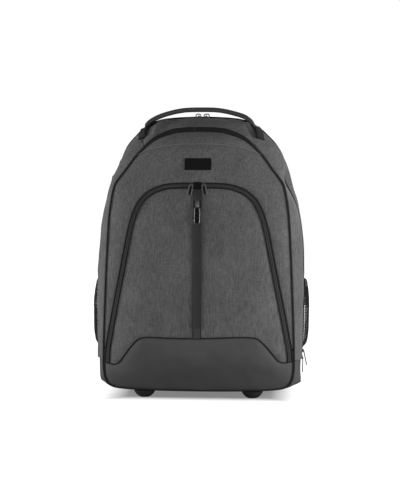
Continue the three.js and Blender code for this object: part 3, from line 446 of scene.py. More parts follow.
def newGroup(name, inputs, outputs):
    group = bpy.data.node_groups.new(name, "ShaderNodeTree")
    for label, value in inputs.items():
        socket = group.interface.new_socket(label, in_out="INPUT", socket_type="NodeSocketFloat")
        socket.default_value = value
    for label in outputs:
        group.interface.new_socket(label, in_out="OUTPUT", socket_type="NodeSocketFloat")
    add, link = nodesOf(group)
    return group, add, link, add("NodeGroupInput"), add("NodeGroupOutput")


def mathNode(add, link, operation, *values, clamp=False):
    node = add("ShaderNodeMath", operation=operation)
    node.use_clamp = clamp
    for k, value in enumerate(values):
        if isinstance(value, (int, float)):
            node.inputs[k].default_value = value
        else:
            link(value, node.inputs[k])
    return node.outputs[0]


def stretchedNoise(add, link, place, scale, detail, roughness=0.5):
    mapping = add("ShaderNodeMapping")
    mapping.inputs["Scale"].default_value = scale
    link(place, mapping.inputs["Vector"])
    spots = add("ShaderNodeTexNoise")
    spots.inputs["Scale"].default_value = 1
    spots.inputs["Detail"].default_value = detail
    spots.inputs["Roughness"].default_value = roughness
    link(mapping.outputs[0], spots.inputs["Vector"])
    return spots.outputs[0]


def makeYarnGroup():
    # Two-tone yarn: upright slubs, short cross threads and soft cloudiness.
    group, add, link, given, out = newGroup("twoToneYarn", {"Slub": 0.5, "Cloud": 0.3}, ["Yarn", "Thread"])
    place = add("ShaderNodeTexCoord").outputs["Object"]
    upright = stretchedNoise(add, link, place, (520, 520, 75), 2, 0.6)
    dashes = stretchedNoise(add, link, place, (130, 130, 640), 1, 0.5)
    cloud = stretchedNoise(add, link, place, (26, 26, 18), 3, 0.55)
    fine = stretchedNoise(add, link, place, (1500, 1500, 900), 0)
    slubs = mathNode(add, link, "MULTIPLY", mathNode(add, link, "SUBTRACT", upright, 0.5), 2.6)
    cross = mathNode(add, link, "MULTIPLY", mathNode(add, link, "SUBTRACT", dashes, 0.5), 1.3)
    both = mathNode(add, link, "MULTIPLY", mathNode(add, link, "ADD", slubs, cross), given.outputs["Slub"])
    soft = mathNode(add, link, "MULTIPLY", mathNode(add, link, "SUBTRACT", cloud, 0.5), given.outputs["Cloud"])
    grain = mathNode(add, link, "MULTIPLY", mathNode(add, link, "SUBTRACT", fine, 0.5), 0.5)
    total = mathNode(add, link, "ADD", mathNode(add, link, "ADD", both, soft), grain)
    link(mathNode(add, link, "ADD", total, 0.5, clamp=True), out.inputs["Yarn"])
    link(mathNode(add, link, "ADD", mathNode(add, link, "ADD", both, grain), 0.5), out.inputs["Thread"])
    return group


def makeWeaveGroup():
    # Over and under threads as a height, in two directions.
    group, add, link, given, out = newGroup("weaveHeight", {"Pitch": 1.0}, ["Height"])
    place = add("ShaderNodeSeparateXYZ")
    link(add("ShaderNodeTexCoord").outputs["Object"], place.inputs[0])
    flat = mathNode(add, link, "ADD", place.outputs[0], place.outputs[1])
    turns = mathNode(add, link, "DIVIDE", 2000 * math.pi, given.outputs["Pitch"])
    warp = mathNode(add, link, "SINE", mathNode(add, link, "MULTIPLY", flat, turns))
    weft = mathNode(add, link, "SINE", mathNode(add, link, "MULTIPLY", place.outputs[2], turns))
    link(mathNode(add, link, "MULTIPLY", warp, weft), out.inputs["Height"])
    return group


def makeGrainGroup():
    # Fine grain and soft scuffs of coated cloth, rubber and moulded plastic.
    group, add, link, given, out = newGroup("fineGrain", {"Size": 1.0}, ["Grain", "Scuff"])
    place = add("ShaderNodeTexCoord").outputs["Object"]
    size = mathNode(add, link, "DIVIDE", 1, given.outputs["Size"])
    scaled = add("ShaderNodeVectorMath", operation="SCALE")
    link(place, scaled.inputs[0])
    link(size, scaled.inputs["Scale"])
    link(stretchedNoise(add, link, scaled.outputs[0], (900, 900, 900), 2), out.inputs["Grain"])
    link(stretchedNoise(add, link, scaled.outputs[0], (34, 34, 34), 4, 0.6), out.inputs["Scuff"])
    return group


yarnGroup, weaveGroup, grainGroup = makeYarnGroup(), makeWeaveGroup(), makeGrainGroup()


def startMaterial(name, roughness, metallic=0.0, sheen=0.0, coat=0.0, gloss=0.2):
    material = bpy.data.materials.new(name)
    material.use_nodes = True
    add, link = nodesOf(material.node_tree)
    shader = add("ShaderNodeBsdfPrincipled")
    shader.inputs["Roughness"].default_value = roughness
    shader.inputs["Metallic"].default_value = metallic
    shader.inputs["Sheen Weight"].default_value = sheen
    shader.inputs["Coat Weight"].default_value = coat
    shader.inputs["Specular IOR Level"].default_value = gloss
    link(shader.outputs[0], add("ShaderNodeOutputMaterial").inputs["Surface"])
    return material, add, link, shader


def colourMix(add, link, amount, dark, light):
    mix = add("ShaderNodeMix", data_type="RGBA")
    mix.inputs["A"].default_value = (*dark, 1)
    mix.inputs["B"].default_value = (*light, 1)
    for socket in mix.inputs:
        if socket.name in ("A", "B") and socket.type == "RGBA":
            socket.default_value = (*(dark if socket.name == "A" else light), 1)
    link(amount, mix.inputs["Factor"])
    return [socket for socket in mix.outputs if socket.type == "RGBA"][0]


def grey(level, tint=(1.0, 1.0, 1.0)):
    # A grey given as a share of sRGB white, with a slight tint.
    linear = ((level + 0.055) / 1.055) ** 2.4
    return tuple(linear * t for t in tint)


def addBump(add, link, shader, height, strength, distance):
    bump = add("ShaderNodeBump")
    bump.inputs["Strength"].default_value = strength
    bump.inputs["Distance"].default_value = distance
    link(height, bump.inputs["Height"])
    link(bump.outputs[0], shader.inputs["Normal"])


def makeCloth(name, dark, light, slub=0.5, cloud=0.3, pitch=0.9, bump=0.35, roughness=0.88, sheen=0.1):
    material, add, link, shader = startMaterial(name, roughness, sheen=sheen, gloss=0.12)
    yarn = add("ShaderNodeGroup", node_tree=yarnGroup)
    yarn.inputs["Slub"].default_value = slub
    yarn.inputs["Cloud"].default_value = cloud
    link(colourMix(add, link, yarn.outputs["Yarn"], dark, light), shader.inputs["Base Color"])
    weave = add("ShaderNodeGroup", node_tree=weaveGroup)
    weave.inputs["Pitch"].default_value = pitch
    height = mathNode(add, link, "ADD", mathNode(add, link, "MULTIPLY", weave.outputs["Height"], 0.3),
                      yarn.outputs["Thread"])
    addBump(add, link, shader, height, bump, 0.0004)
    return material


def makeGrained(name, dark, light, roughness, size=1.0, bump=0.15, metallic=0.0, coat=0.0, sheen=0.0,
                roughRange=0.12, gloss=0.2):
    material, add, link, shader = startMaterial(name, roughness, metallic, sheen, coat, gloss)
    grain = add("ShaderNodeGroup", node_tree=grainGroup)
    grain.inputs["Size"].default_value = size
    link(colourMix(add, link, grain.outputs["Scuff"], dark, light), shader.inputs["Base Color"])
    rough = mathNode(add, link, "MULTIPLY_ADD", grain.outputs["Scuff"], roughRange, roughness - roughRange / 2)
    link(rough, shader.inputs["Roughness"])
    addBump(add, link, shader, grain.outputs["Grain"], bump, 0.0002)
    return material


def makeTape(name, edge, middle, ribs=0.0, ribPitch=1.2, roughness=0.75, bands=None):
    # Woven tape: its edges and middle differ along v, with ribs across it along u (metres).
    material, add, link, shader = startMaterial(name, roughness, gloss=0.15)
    uv = add("ShaderNodeSeparateXYZ")
    link(add("ShaderNodeUVMap", uv_map="cloth").outputs[0], uv.inputs[0])
    ramp = add("ShaderNodeValToRGB")
    stops = bands or [(0, edge), (0.2, edge), (0.3, middle), (0.7, middle), (0.8, edge), (1, edge)]
    while len(ramp.color_ramp.elements) < len(stops):
        ramp.color_ramp.elements.new(0.5)
    for element, (position, colour) in zip(ramp.color_ramp.elements, stops):
        element.position = position
        element.color = (*colour, 1)
    link(uv.outputs[1], ramp.inputs[0])
    grain = add("ShaderNodeGroup", node_tree=grainGroup)
    shade = add("ShaderNodeMix", data_type="RGBA", blend_type="MULTIPLY")
    shade.inputs["Factor"].default_value = 0.35
    colours = [s for s in shade.inputs if s.type == "RGBA"]
    link(ramp.outputs[0], colours[0])
    link(grain.outputs["Grain"], colours[1])
    link([s for s in shade.outputs if s.type == "RGBA"][0], shader.inputs["Base Color"])
    turns = mathNode(add, link, "MULTIPLY", uv.outputs[0], 2000 * math.pi / ribPitch)
    rib = mathNode(add, link, "MULTIPLY", mathNode(add, link, "SINE", turns), ribs)
    addBump(add, link, shader, mathNode(add, link, "ADD", rib, grain.outputs["Grain"]), 0.4, 0.0004)
    return material


clothLook = makeCloth("melangeCloth", grey(0.2), grey(0.42), slub=0.36, cloud=0.4, sheen=0.03)
baseLook = makeGrained("coatedCloth", grey(0.215), grey(0.245), 0.55, bump=0.1, gloss=0.3)
pipingLook = makeGrained("pipingCloth", grey(0.085), grey(0.12), 0.8, bump=0.3)
archLook = makeTape("archZipTape", grey(0.1), grey(0.23), ribs=0.4,
                    bands=[(0, grey(0.1)), (0.3, grey(0.1)), (0.37, grey(0.23)), (0.63, grey(0.23)),
                           (0.7, grey(0.1)), (1, grey(0.1))])
ridgeZipLook = makeTape("ridgeZipTape", grey(0.09), grey(0.13), ribs=0.6)
centreLook = makeTape("centreZipFlaps", grey(0.08), grey(0.19), ribs=0.0, roughness=0.55,
                      bands=[(0, grey(0.07)), (0.1, grey(0.08)), (0.16, grey(0.2)), (0.84, grey(0.2)),
                             (0.9, grey(0.08)), (1, grey(0.07))])
webbingLook = makeTape("webbing", grey(0.14), grey(0.17), ribs=1.0, ribPitch=1.6)
handleLook = makeGrained("handleCloth", grey(0.2), grey(0.245), 0.6, bump=0.3)
# pale grey for the seam cords, lighter than the cloth they are sewn into: a painted highlight along raised seam edges
highlightCordLook = makeGrained("paintedHighlightCord", grey(0.4), grey(0.47), 0.8)
labelLook = makeGrained("labelPatch", grey(0.06), grey(0.075), 0.7, gloss=0.08)
bindingLook = makeGrained("pocketBinding", grey(0.13), grey(0.17), 0.8, bump=0.4)
netLook = makeGrained("pocketNet", grey(0.08), grey(0.12), 0.8)
padLook = makeCloth("airMesh", grey(0.13), grey(0.22), slub=0.25, cloud=0.2, pitch=2.2, bump=0.9)
mouldedLook = makeGrained("mouldedPlastic", grey(0.09), grey(0.12), 0.5, bump=0.25, gloss=0.4)
rubberLook = makeGrained("rubber", grey(0.1), grey(0.13), 0.6, bump=0.2, gloss=0.3)
darkMetalLook = makeGrained("gunMetal", grey(0.3), grey(0.36), 0.4, metallic=0.9, bump=0.05, gloss=0.5)
pullLook = makeGrained("darkPull", grey(0.24), grey(0.3), 0.42, metallic=0.3, bump=0.05, gloss=0.4)
sidePullLook = makeGrained("sidePull", grey(0.26), grey(0.32), 0.6, bump=0.05)
steelLook = makeGrained("brightSteel", grey(0.6), grey(0.68), 0.25, metallic=1.0, bump=0.04, gloss=0.5)
print("materials made")

# front of the bag: panels cut from one crowned sheet along the seams

panels = {"pitch": 2.2, "wall": 1.6, "seamDip": 1.5, "seamRun": 4.5, "wave": 0.7, "waveSize": 42}
centreZip = {"wide": 14.4, "foot": 122, "head": 354, "proud": 0.9}
centreRect = distanceTo([(-7.2, centreZip["foot"]), (7.2, centreZip["foot"]),
                         (7.2, centreZip["head"]), (-7.2, centreZip["head"])])


def frontPanel(name, inside, material, low, high, swell=0.0, seed=0):
    # A panel of the crowned front: a grid trimmed to where inside(x, z) is below zero.
    pitch = panels["pitch"]
    wide = halfWidth * 0.93
    along, up = round(2 * wide / pitch), round((high - low) / pitch)
    bm, u, v = gridMesh(along, up)
    x, z = (u - 0.5) * 2 * wide, low + v * (high - low)
    far = inside(x, z)
    out = [face for face in bm.faces if all(far[vertex.index] > 0 for vertex in face.verts)]
    for _ in range(3):  # what stays outside is drawn onto the seam
        step = 0.2
        near = far > 0
        near &= far < pitch * 3
        xs, zs = x[near], z[near]
        d = inside(xs, zs)
        gx = (inside(xs + step, zs) - inside(xs - step, zs)) / (2 * step)
        gz = (inside(xs, zs + step) - inside(xs, zs - step)) / (2 * step)
        size = np.maximum(0.3, gx ** 2 + gz ** 2)
        x[near], z[near] = xs - gx * np.maximum(0, d) / size, zs - gz * np.maximum(0, d) / size
    depth = np.maximum(0, -inside(x, z))
    flat = np.stack([x, np.zeros(len(x)), z], axis=1)
    lift = (panels["wave"] * softNoise(flat, panels["waveSize"], seed) * 2
            + 0.5 * softNoise(flat, 17, seed + 5) + foldHeight(x, z, frontFolds)
            + swell * (1 - np.exp(-depth / 16)))
    lift = lift * (1 - np.exp(-depth / 7)) - panels["seamDip"] * np.exp(-depth / panels["seamRun"]) + 0.5
    y = faceDepth(x, z) - lift
    moveTo(bm, np.stack([x, y, z], axis=1))
    bmesh.ops.delete(bm, geom=out, context="FACES")
    loose = [vertex for vertex in bm.verts if not vertex.link_faces]
    bmesh.ops.delete(bm, geom=loose, context="VERTS")
    thicken(bm, panels["wall"], forwardOut)
    return makePiece(name, bm, material, [name])


frontPanel("base_panel", lambda x, z: np.maximum(insidePiping(x, z), belowBase(x, z)),
           baseLook, 10, 112, swell=1.0, seed=1)
frontPanel("crescent_panel", lambda x, z: np.maximum(insidePiping(x, z), aboveCrescent(x, z)),
           clothLook, 404, 458, swell=0.3, seed=2)
frontPanel("front_panel",
           lambda x, z: np.maximum.reduce([insidePiping(x, z), -underArch(x, z), -belowBase(x, z),
                                           -aboveCrescent(x, z)]),
           clothLook, 50, 434, swell=0.8, seed=3)
frontPanel("pocket_panel",
           lambda x, z: np.maximum.reduce([inPocket(x, z), -belowBase(x, z), -centreRect(x, z)]),
           clothLook, 50, 360, swell=1.0, seed=4)
print("front panels made")


def faceBand(name, line, half, heightAcross, material, across=10, along=300, closed=False,
             nodes=None, wall=1.8, lift=0.0):
    # A band on the front face along a line in x and z; heightAcross gives its rise from v.
    if closed:
        line = np.vstack([line, line[:1]])
    way = np.gradient(line, axis=0)
    if closed:
        way[0] = way[-1] = line[1] - line[-2]
    way /= np.linalg.norm(way, axis=1)[:, None]
    normal = np.stack([-way[:, 1], way[:, 0]], axis=1)
    run = np.concatenate([[0], np.cumsum(np.linalg.norm(np.diff(line, axis=0), axis=1))])
    half = np.broadcast_to(half, run.shape) if np.ndim(half) == 0 else half
    bm, u, v = gridMesh(along, across)
    at = u * run[-1]
    cx, cz, nx, nz, h = (np.interp(at, run, q) for q in
                         (line[:, 0], line[:, 1], normal[:, 0], normal[:, 1], half))
    s = (v - 0.5) * 2
    x, z = cx + nx * h * s, cz + nz * h * s
    y = faceDepth(x, z) - heightAcross(s, h) - lift
    moveTo(bm, np.stack([x, y, z], axis=1))
    addUv(bm, at * mm, v)
    thicken(bm, wall, forwardOut)
    if closed:
        bmesh.ops.remove_doubles(bm, verts=bm.verts[:], dist=0.02)
    return makePiece(name, bm, material, [name] if nodes is None else nodes)


def archRise(s, half):
    # the tape runs on under the panels' edges, past archOut
    s = np.abs(s) * half / archOut
    edge = 1.5 * np.exp(-((s - 0.74) / 0.2) ** 4)
    return 0.1 + edge + 0.8 * np.exp(-(s / 0.16) ** 2) - 2.0 * (s > 0.99)


archTape = 7.6
archTrimmed = arch[belowBase(arch[:, 0], arch[:, 1]) > -2]
faceBand("arch_zip", archTrimmed, archTape, archRise, archLook, across=36, along=420)
centreLine = np.array([(0, z) for z in np.linspace(centreZip["foot"], centreZip["head"], 40)])


def flapRise(s, half):
    edge = 1.3 * np.exp(-((np.abs(s) - 0.86) / 0.1) ** 2)
    return 0.6 + edge + 0.5 * (1 - np.exp(-(s / 0.1) ** 2))


faceBand("centre_zip", centreLine, centreZip["wide"] / 2, flapRise, centreLook, across=24,
         along=90)
footLine = np.array([(0, z) for z in np.linspace(heightOf(0.195) + 0.6, centreZip["foot"] - 0.4, 12)])
stripFootLook = makeTape("stripFoot", grey(0.1), grey(0.24), bands=[
    (0, grey(0.1)), (0.08, grey(0.1)), (0.14, grey(0.25)), (0.86, grey(0.25)), (0.92, grey(0.1)), (1, grey(0.1))])
faceBand("centre_strip_foot", footLine, centreZip["wide"] / 2, lambda s, h: 1.3 - 0.7 * (np.abs(s) > 0.9),
         stripFootLook, across=24, along=14, nodes=(), wall=1.2)
garageLine = np.array([(x, heightOf(0.752)) for x in np.linspace(-6.4, 6.4, 12)])
faceBand("zip_garage", garageLine, 6.4, lambda s, h: 2.4 - 0.8 * s ** 4, labelLook, across=12,
         along=14, nodes=(), wall=2.0)
labelLine = np.array([(x, 397) for x in np.linspace(-22.5, 22.5, 20)])
faceBand("label", labelLine, 10, lambda s, h: 0.9 - 0.5 * (np.abs(s) > 0.98), labelLook,
         across=20, along=30, wall=1.4, lift=1.3)


def pipingRise(s, half):
    return 0.4 + (1.5 + 0.1 * half) * np.sqrt(np.maximum(0, 1 - s ** 2)) - 1.2 * (np.abs(s) > 0.99)


faceBand("front_piping", seamLoop("front", 0.0), np.concatenate([pipingAndGapShadeAt(rowsRound), pipingAndGapShadeAt(rowsRound)[:1]]) / 2,
         pipingRise, pipingLook, across=12, along=560, closed=True, wall=2.6)


def seamCord(name, line, size, lift, material):
    # a thin cord sewn into a seam of the front
    y = faceDepth(line[:, 0], line[:, 1]) - lift
    points = np.stack([line[:, 0], y, line[:, 1]], axis=1)
    bm = sweep(points, np.tile([0.0, 0.0, 1.0], (len(points), 1)), np.full(len(points), size),
               np.full(len(points), size), sides=8, square=1.0)
    makePiece(name, bm, material)


def resample(line, step):
    run = np.concatenate([[0], np.cumsum(np.linalg.norm(np.diff(line, axis=0), axis=1))])
    at = np.linspace(0, run[-1], max(2, round(run[-1] / step)))
    return np.stack([np.interp(at, run, line[:, 0]), np.interp(at, run, line[:, 1])], axis=1)


baseCordLine = resample(baseSeam, 3)
baseCordLine = baseCordLine[insidePiping(baseCordLine[:, 0], baseCordLine[:, 1]) < 0.5]
seamCord("base_seam_cord", baseCordLine, 2.3, 0.0, pipingLook)
crescentCordLine = resample(crescentSeam, 3)
crescentCordLine = crescentCordLine[insidePiping(crescentCordLine[:, 0], crescentCordLine[:, 1]) < 0.5]
# the crescent cord is pale grey: a painted highlight along the raised seam
seamCord("crescent_highlight_cord", crescentCordLine, 1.2, 0.7, highlightCordLook)
print("front zips, label, piping and seams made")

# sides, top and ridge

zipHalf = 4.0
gussets = {"wall": 1.6, "seamDip": 1.4}


def gussetFront(row):
    x, z, _, _ = seamPoint("front", row, pipingAndGapShadeAt(row) / 2 + 0.2)
    return np.stack([x, faceDepth(x, z) + 1.6, z], axis=1)


def ridgeEdge(row, offset, proud=0.0):
    x, z, _, _ = seamPoint("ridge", row, proud)
    return np.stack([x, ridgeY(row) + offset, z], axis=1)


def backEdge(row):
    x, z, _, _ = seamPoint("back", row)
    return np.stack([x, np.full(len(x), float(bag["backDepth"])), z], axis=1)


def outwards(row):
    _, _, nx, nz = seamPoint("ridge", row)
    return np.stack([nx, np.zeros(len(nx)), nz], axis=1)


def bowed(start, end, row, v, bulge):
    bow = bulge * np.sin(math.pi * v)
    return start + (end - start) * v[:, None] + outwards(row) * bow[:, None]


def frontGusset(row, v):
    return bowed(gussetFront(row), ridgeEdge(row, -zipHalf + 0.4), row, v, bag["gussetBulge"])


def rearGusset(row, v):
    return bowed(ridgeEdge(row, zipHalf - 0.4), backEdge(row), row, v, bag["gussetBulge"] * 0.6)


gussetFolds = [  # on the front gusset: row, share across, length along, width, turn, height
    {"row": -17.7, "v": 0.46, "along": 0.75, "across": 0.11, "lean": -0.54, "high": 5.0},
    {"row": -16.7, "v": 0.5, "along": 0.6, "across": 0.12, "lean": -0.45, "high": -5.0},
    {"row": -18.7, "v": 0.5, "along": 0.7, "across": 0.12, "lean": -0.4, "high": -2.6},
    {"row": -19.6, "v": 0.6, "along": 0.6, "across": 0.14, "lean": -0.3, "high": 1.8},
    {"row": 17.2, "v": 0.4, "along": 0.6, "across": 0.1, "lean": 0.35, "high": -3.6},
    {"row": 17.6, "v": 0.62, "along": 0.7, "across": 0.12, "lean": 0.3, "high": 2.6},
    {"row": 18.6, "v": 0.5, "along": 0.8, "across": 0.12, "lean": 0.2, "high": -1.6},
    {"row": 14.4, "v": 0.82, "along": 1.1, "across": 0.2, "lean": 0, "high": 4.0},
    {"row": 13.4, "v": 0.4, "along": 0.3, "across": 0.12, "lean": -0.5, "high": 2.6},
    {"row": 11.9, "v": 0.55, "along": 1.1, "across": 0.5, "lean": 0, "high": -5.5},
    {"row": 15.2, "v": 0.45, "along": 0.3, "across": 0.12, "lean": -0.5, "high": 2.4},
    {"row": -14.2, "v": 0.5, "along": 0.4, "across": 0.14, "lean": 0.5, "high": 2.0},
    {"row": -12.5, "v": 0.5, "along": 0.3, "across": 0.14, "lean": 0.4, "high": 1.6},
    {"row": -8.6, "v": 0.5, "along": 0.5, "across": 0.15, "lean": 0.3, "high": 1.4},
    {"row": 8.2, "v": 0.5, "along": 0.6, "across": 0.14, "lean": 0.2, "high": 1.6},
    {"row": 9.4, "v": 0.45, "along": 0.4, "across": 0.13, "lean": -0.3, "high": 1.2},
]


def gussetLift(row, v, folds):
    total = np.zeros(len(row))
    for fold in folds:
        dr, dv = row - fold["row"], v - fold["v"]
        off = dv - fold["lean"] * dr
        total += fold["high"] * np.exp(-(dr / fold["along"]) ** 2 - (off / fold["across"]) ** 2)
    return total


def bandPiece(name, rowFrom, rowTo, along, across, surface, material, folds=(), bulge=0.0, wave=0.5,
              nodes=None, wall=None, keep=None, out=sideOut, uv=True, vFrom=0.0, vTo=1.0):
    # A strip of the sides between two seams, from row to row, with its folds.
    bm, u, v = gridMesh(along, across)
    row = rowFrom + u * (rowTo - rowFrom)
    row = np.where(row > lastRow, row - 2 * lastRow, row)
    v = vFrom + v * (vTo - vFrom)
    base = surface(row, v)
    moveTo(bm, base)
    normal = surfaceNormals(bm)
    outer = np.array([tuple(out(p)) for p in base])
    flip = np.where((normal * outer).sum(axis=1).mean() < 0, -1, 1)
    edge = np.minimum(v, 1 - v)
    lift = (gussetLift(row, v, folds) + wave * softNoise(base, 26, 3) * 2 + bulge)
    lift = lift * (1 - np.exp(-edge / 0.08)) - gussets["seamDip"] * np.exp(-edge / 0.05) + 0.4
    moveTo(bm, base + normal * flip * lift[:, None])
    if uv:
        addUv(bm, u * abs(rowTo - rowFrom) * 0.04, v)
    if keep:
        drop = [face for face in bm.faces if not keep(face.calc_center_median())]
        bmesh.ops.delete(bm, geom=drop, context="FACES")
        loose = [vertex for vertex in bm.verts if not vertex.link_faces]
        bmesh.ops.delete(bm, geom=loose, context="VERTS")
    thicken(bm, wall or gussets["wall"], out)
    return makePiece(name, bm, material, nodes or [name])


for side, sign in (("left", -1), ("right", 1)):
    bandPiece(f"side_gusset_{side}", sign * (seamRow + 0.02), sign * (cornerRow - 0.02), 150, 26, frontGusset,
              clothLook, folds=gussetFolds)
bandPiece("top_gusset", cornerRow + 0.02, 2 * lastRow - cornerRow - 0.02, 120, 26, frontGusset, clothLook,
          folds=gussetFolds)


def zipSurface(row, v):
    at = ridgeEdge(row, 0.0)
    at[:, 1] += (v - 0.5) * 2 * zipHalf
    return at


def zipBand(name):
    bm, u, v = gridMesh(420, 14)
    row = (seamRow + 0.02) + u * (2 * lastRow - 2 * (seamRow + 0.02))
    row = np.where(row > lastRow, row - 2 * lastRow, row)
    s = (v - 0.5) * 2
    base = zipSurface(row, v)
    rise = 0.3 + 0.9 * np.exp(-((np.abs(s) - 0.72) / 0.22) ** 4) + 0.9 * np.exp(-(s / 0.2) ** 2)
    rise = rise + 1.6 * np.clip(np.abs(row) - 16, 0, 1) * np.sqrt(np.maximum(0, 1 - s ** 4))  # proud over the top
    moveTo(bm, base + outwards(row) * rise[:, None])
    addUv(bm, u * 1.15, v)
    thicken(bm, 1.6, sideOut)
    makePiece(name, bm, ridgeZipLook, [name])


zipBand("main_zip")


def shoulderHighlightCord(side, sign):
    # a pale cord along the seam where a side gusset is sewn to the top gusset: a painted highlight on the seam's edge
    v = np.linspace(0.04, 0.94, 30)
    row = np.full(len(v), float(sign * cornerRow))
    line = frontGusset(row, v) + outwards(row) * 0.2
    size = np.full(len(v), 1.1)
    bm = sweep(line, outwards(row), size, size, sides=8, square=1.0)
    makePiece(f"shoulder_seam_highlight_{side}", bm, highlightCordLook)


for side, sign in (("left", -1), ("right", 1)):
    shoulderHighlightCord(side, sign)
print("sides and ridge made")


def inBase(point, grow=0.0):
    # Whether a point of the wrap or rear gusset lies behind the moulded base's wall.
    return point.y > 34 - grow and point.z < 78 + grow


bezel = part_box("handle_bezel")
bezelLow = [c / mm for c in bezel[0]]
bezelHigh = [c / mm for c in bezel[1]]


def clearOfBezel(point, grow=1.0):
    return not (abs(point.x) < bezelHigh[0] + grow and point.z > bezelLow[2] - grow
                and point.y + depthShift > bezelLow[1] - grow)


rearFolds = [
    {"row": 12.1, "v": 0.32, "along": 1.5, "across": 0.3, "lean": 0, "high": 7.5},
    {"row": 9.0, "v": 0.5, "along": 1.2, "across": 0.3, "lean": 0, "high": 1.5},
    {"row": -9.5, "v": 0.5, "along": 1.4, "across": 0.3, "lean": 0, "high": 1.5},
    {"row": 15.6, "v": 0.5, "along": 0.5, "across": 0.12, "lean": 0.4, "high": 1.6},
    {"row": -15.2, "v": 0.5, "along": 0.5, "across": 0.12, "lean": -0.4, "high": 1.6},
    {"row": 17.6, "v": 0.5, "along": 0.5, "across": 0.12, "lean": 0.3, "high": -1.2},
    {"row": -17.4, "v": 0.5, "along": 0.5, "across": 0.12, "lean": -0.3, "high": -1.2},
]
bandPiece("rear_gusset", seamRow + 0.02, 2 * lastRow - seamRow - 0.02, 330, 30, rearGusset, clothLook,
          folds=rearFolds, wave=0.8,
          keep=lambda p: not inBase(p, 0.6) and clearOfBezel(p))


def wrapSurface(row, v):
    front, ridge, back = gussetFront(row), ridgeEdge(row, 0.0), backEdge(row)
    first, second = (v * 2)[:, None], (v * 2 - 1)[:, None]
    return np.where(v[:, None] < 0.5, front + (ridge - front) * first, ridge + (back - ridge) * second)


bandPiece("base_wrap", -seamRow + 0.02, seamRow - 0.02, 200, 40, wrapSurface, baseLook,
          wave=0.4, keep=lambda p: not inBase(p, 0.6))
print("base wrap made")

# back panel, its piping and pads

backs = {"wall": 3.0, "face": 77.3, "padThick": 8, "padWide": 62, "padHigh": 250, "padSpacing": 118,
         "padCentre": 255, "channels": 5}
insideBack = distanceTo(seamLoop("back", -1.0))


def backPanel():
    pitch = 3.0
    wide, low, high = halfWidth * 0.96, 70, 460
    bm, u, v = gridMesh(round(2 * wide / pitch), round((high - low) / pitch))
    x, z = (u - 0.5) * 2 * wide, low + v * (high - low)

    def inside(a, b):
        bezelPart = np.maximum(np.abs(a) - bezelHigh[0] - 0.6, bezelLow[2] - 0.6 - b)
        return np.maximum.reduce([insideBack(a, b), 78.8 - b, -bezelPart])
    far = inside(x, z)
    out = [face for face in bm.faces if all(far[vertex.index] > 0 for vertex in face.verts)]
    for _ in range(3):
        near = (far > 0) & (far < 12)
        xs, zs = x[near], z[near]
        d = inside(xs, zs)
        gx = (inside(xs + 0.2, zs) - inside(xs - 0.2, zs)) / 0.4
        gz = (inside(xs, zs + 0.2) - inside(xs, zs - 0.2)) / 0.4
        size = np.maximum(0.3, gx ** 2 + gz ** 2)
        x[near], z[near] = xs - gx * np.maximum(0, d) / size, zs - gz * np.maximum(0, d) / size
    depth = np.maximum(0, -inside(x, z))
    flat = np.stack([x, np.zeros(len(x)), z], axis=1)
    lift = 0.3 * softNoise(flat, 40, 9) - 1.2 * np.exp(-depth / 5)
    moveTo(bm, np.stack([x, backs["face"] + lift, z], axis=1))
    bmesh.ops.delete(bm, geom=out, context="FACES")
    loose = [vertex for vertex in bm.verts if not vertex.link_faces]
    bmesh.ops.delete(bm, geom=loose, context="VERTS")
    thicken(bm, 2.4, backOut)
    piece = makePiece("back_panel", bm, padLook, ["back_panel"])


backPanel()


def backPiping():
    for side, sign in (("left", -1), ("right", 1)):
        rows = np.linspace(sign * (seamRow + 0.3), sign * lastRow, 150)
        x, z, _, _ = seamPoint("back", rows, 0.2)
        low = z > 80.5
        clear = ~((np.abs(x) < bezelHigh[0] + 2) & (z > bezelLow[2] - 2))
        keep = low & clear
        points = np.stack([x, np.full(len(x), backs["face"] - 1.4), z], axis=1)[keep]
        axes = np.tile([0.0, 1.0, 0.0], (len(points), 1))
        size = np.full(len(points), 4.2)
        bm = sweep(points, axes, size, size, sides=10, square=1.0)
        makePiece(f"back_piping_{side}", bm, pipingLook, [f"back_piping_{side}"])


backPiping()


def backPad(side, sign):
    # A pad with rounded corners, soft edges and sewn channels across it.
    w, h = backs["padWide"] / 2, backs["padHigh"] / 2
    bm, u, v = gridMesh(48, 170)
    x, z = (u - 0.5) * 2 * w, (v - 0.5) * 2 * h
    corner = 16
    qx, qz = np.maximum(0, np.abs(x) - w + corner), np.maximum(0, np.abs(z) - h + corner)
    reach = np.hypot(qx, qz)
    pull = np.where(reach > corner, corner / np.maximum(reach, 1e-6), 1)
    x = np.sign(x) * (np.minimum(np.abs(x), w - corner) + qx * pull)
    z = np.sign(z) * (np.minimum(np.abs(z), h - corner) + qz * pull)
    edge = np.minimum(w - np.abs(x), h - np.abs(z))
    edge = np.where((qx > 0) & (qz > 0), corner - np.hypot(qx, qz) * pull, edge)
    crown = 1 - np.exp(-np.maximum(0, edge) / 5)
    step = backs["padHigh"] / backs["channels"]
    groove = np.abs(((z + h) / step + 0.5) % 1 - 0.5) * step
    groove = np.where(np.abs(z) < h - step * 0.6, groove, 99)
    rise = (backs["padThick"] - 0.6) * crown * (1 - 0.62 * np.exp(-(groove / 3.2) ** 2)) + 0.3
    base = np.stack([x + sign * backs["padSpacing"] / 2, backs["face"] + 0.3 + rise, z + backs["padCentre"]], axis=1)
    moveTo(bm, base)
    sheet = bm.faces[:]
    grown = bmesh.ops.extrude_face_region(bm, geom=sheet, use_keep_orig=True)
    for vertex in [g for g in grown["geom"] if isinstance(g, bmesh.types.BMVert)]:
        vertex.co.y = backs["face"] + 0.35
    bmesh.ops.recalc_face_normals(bm, faces=bm.faces[:])
    piece = makePiece(f"back_pad_{side}", bm, padLook, [f"back_pad_{side}"])


for side, sign in (("left", -1), ("right", 1)):
    backPad(side, sign)
print("back made")

# carry handle

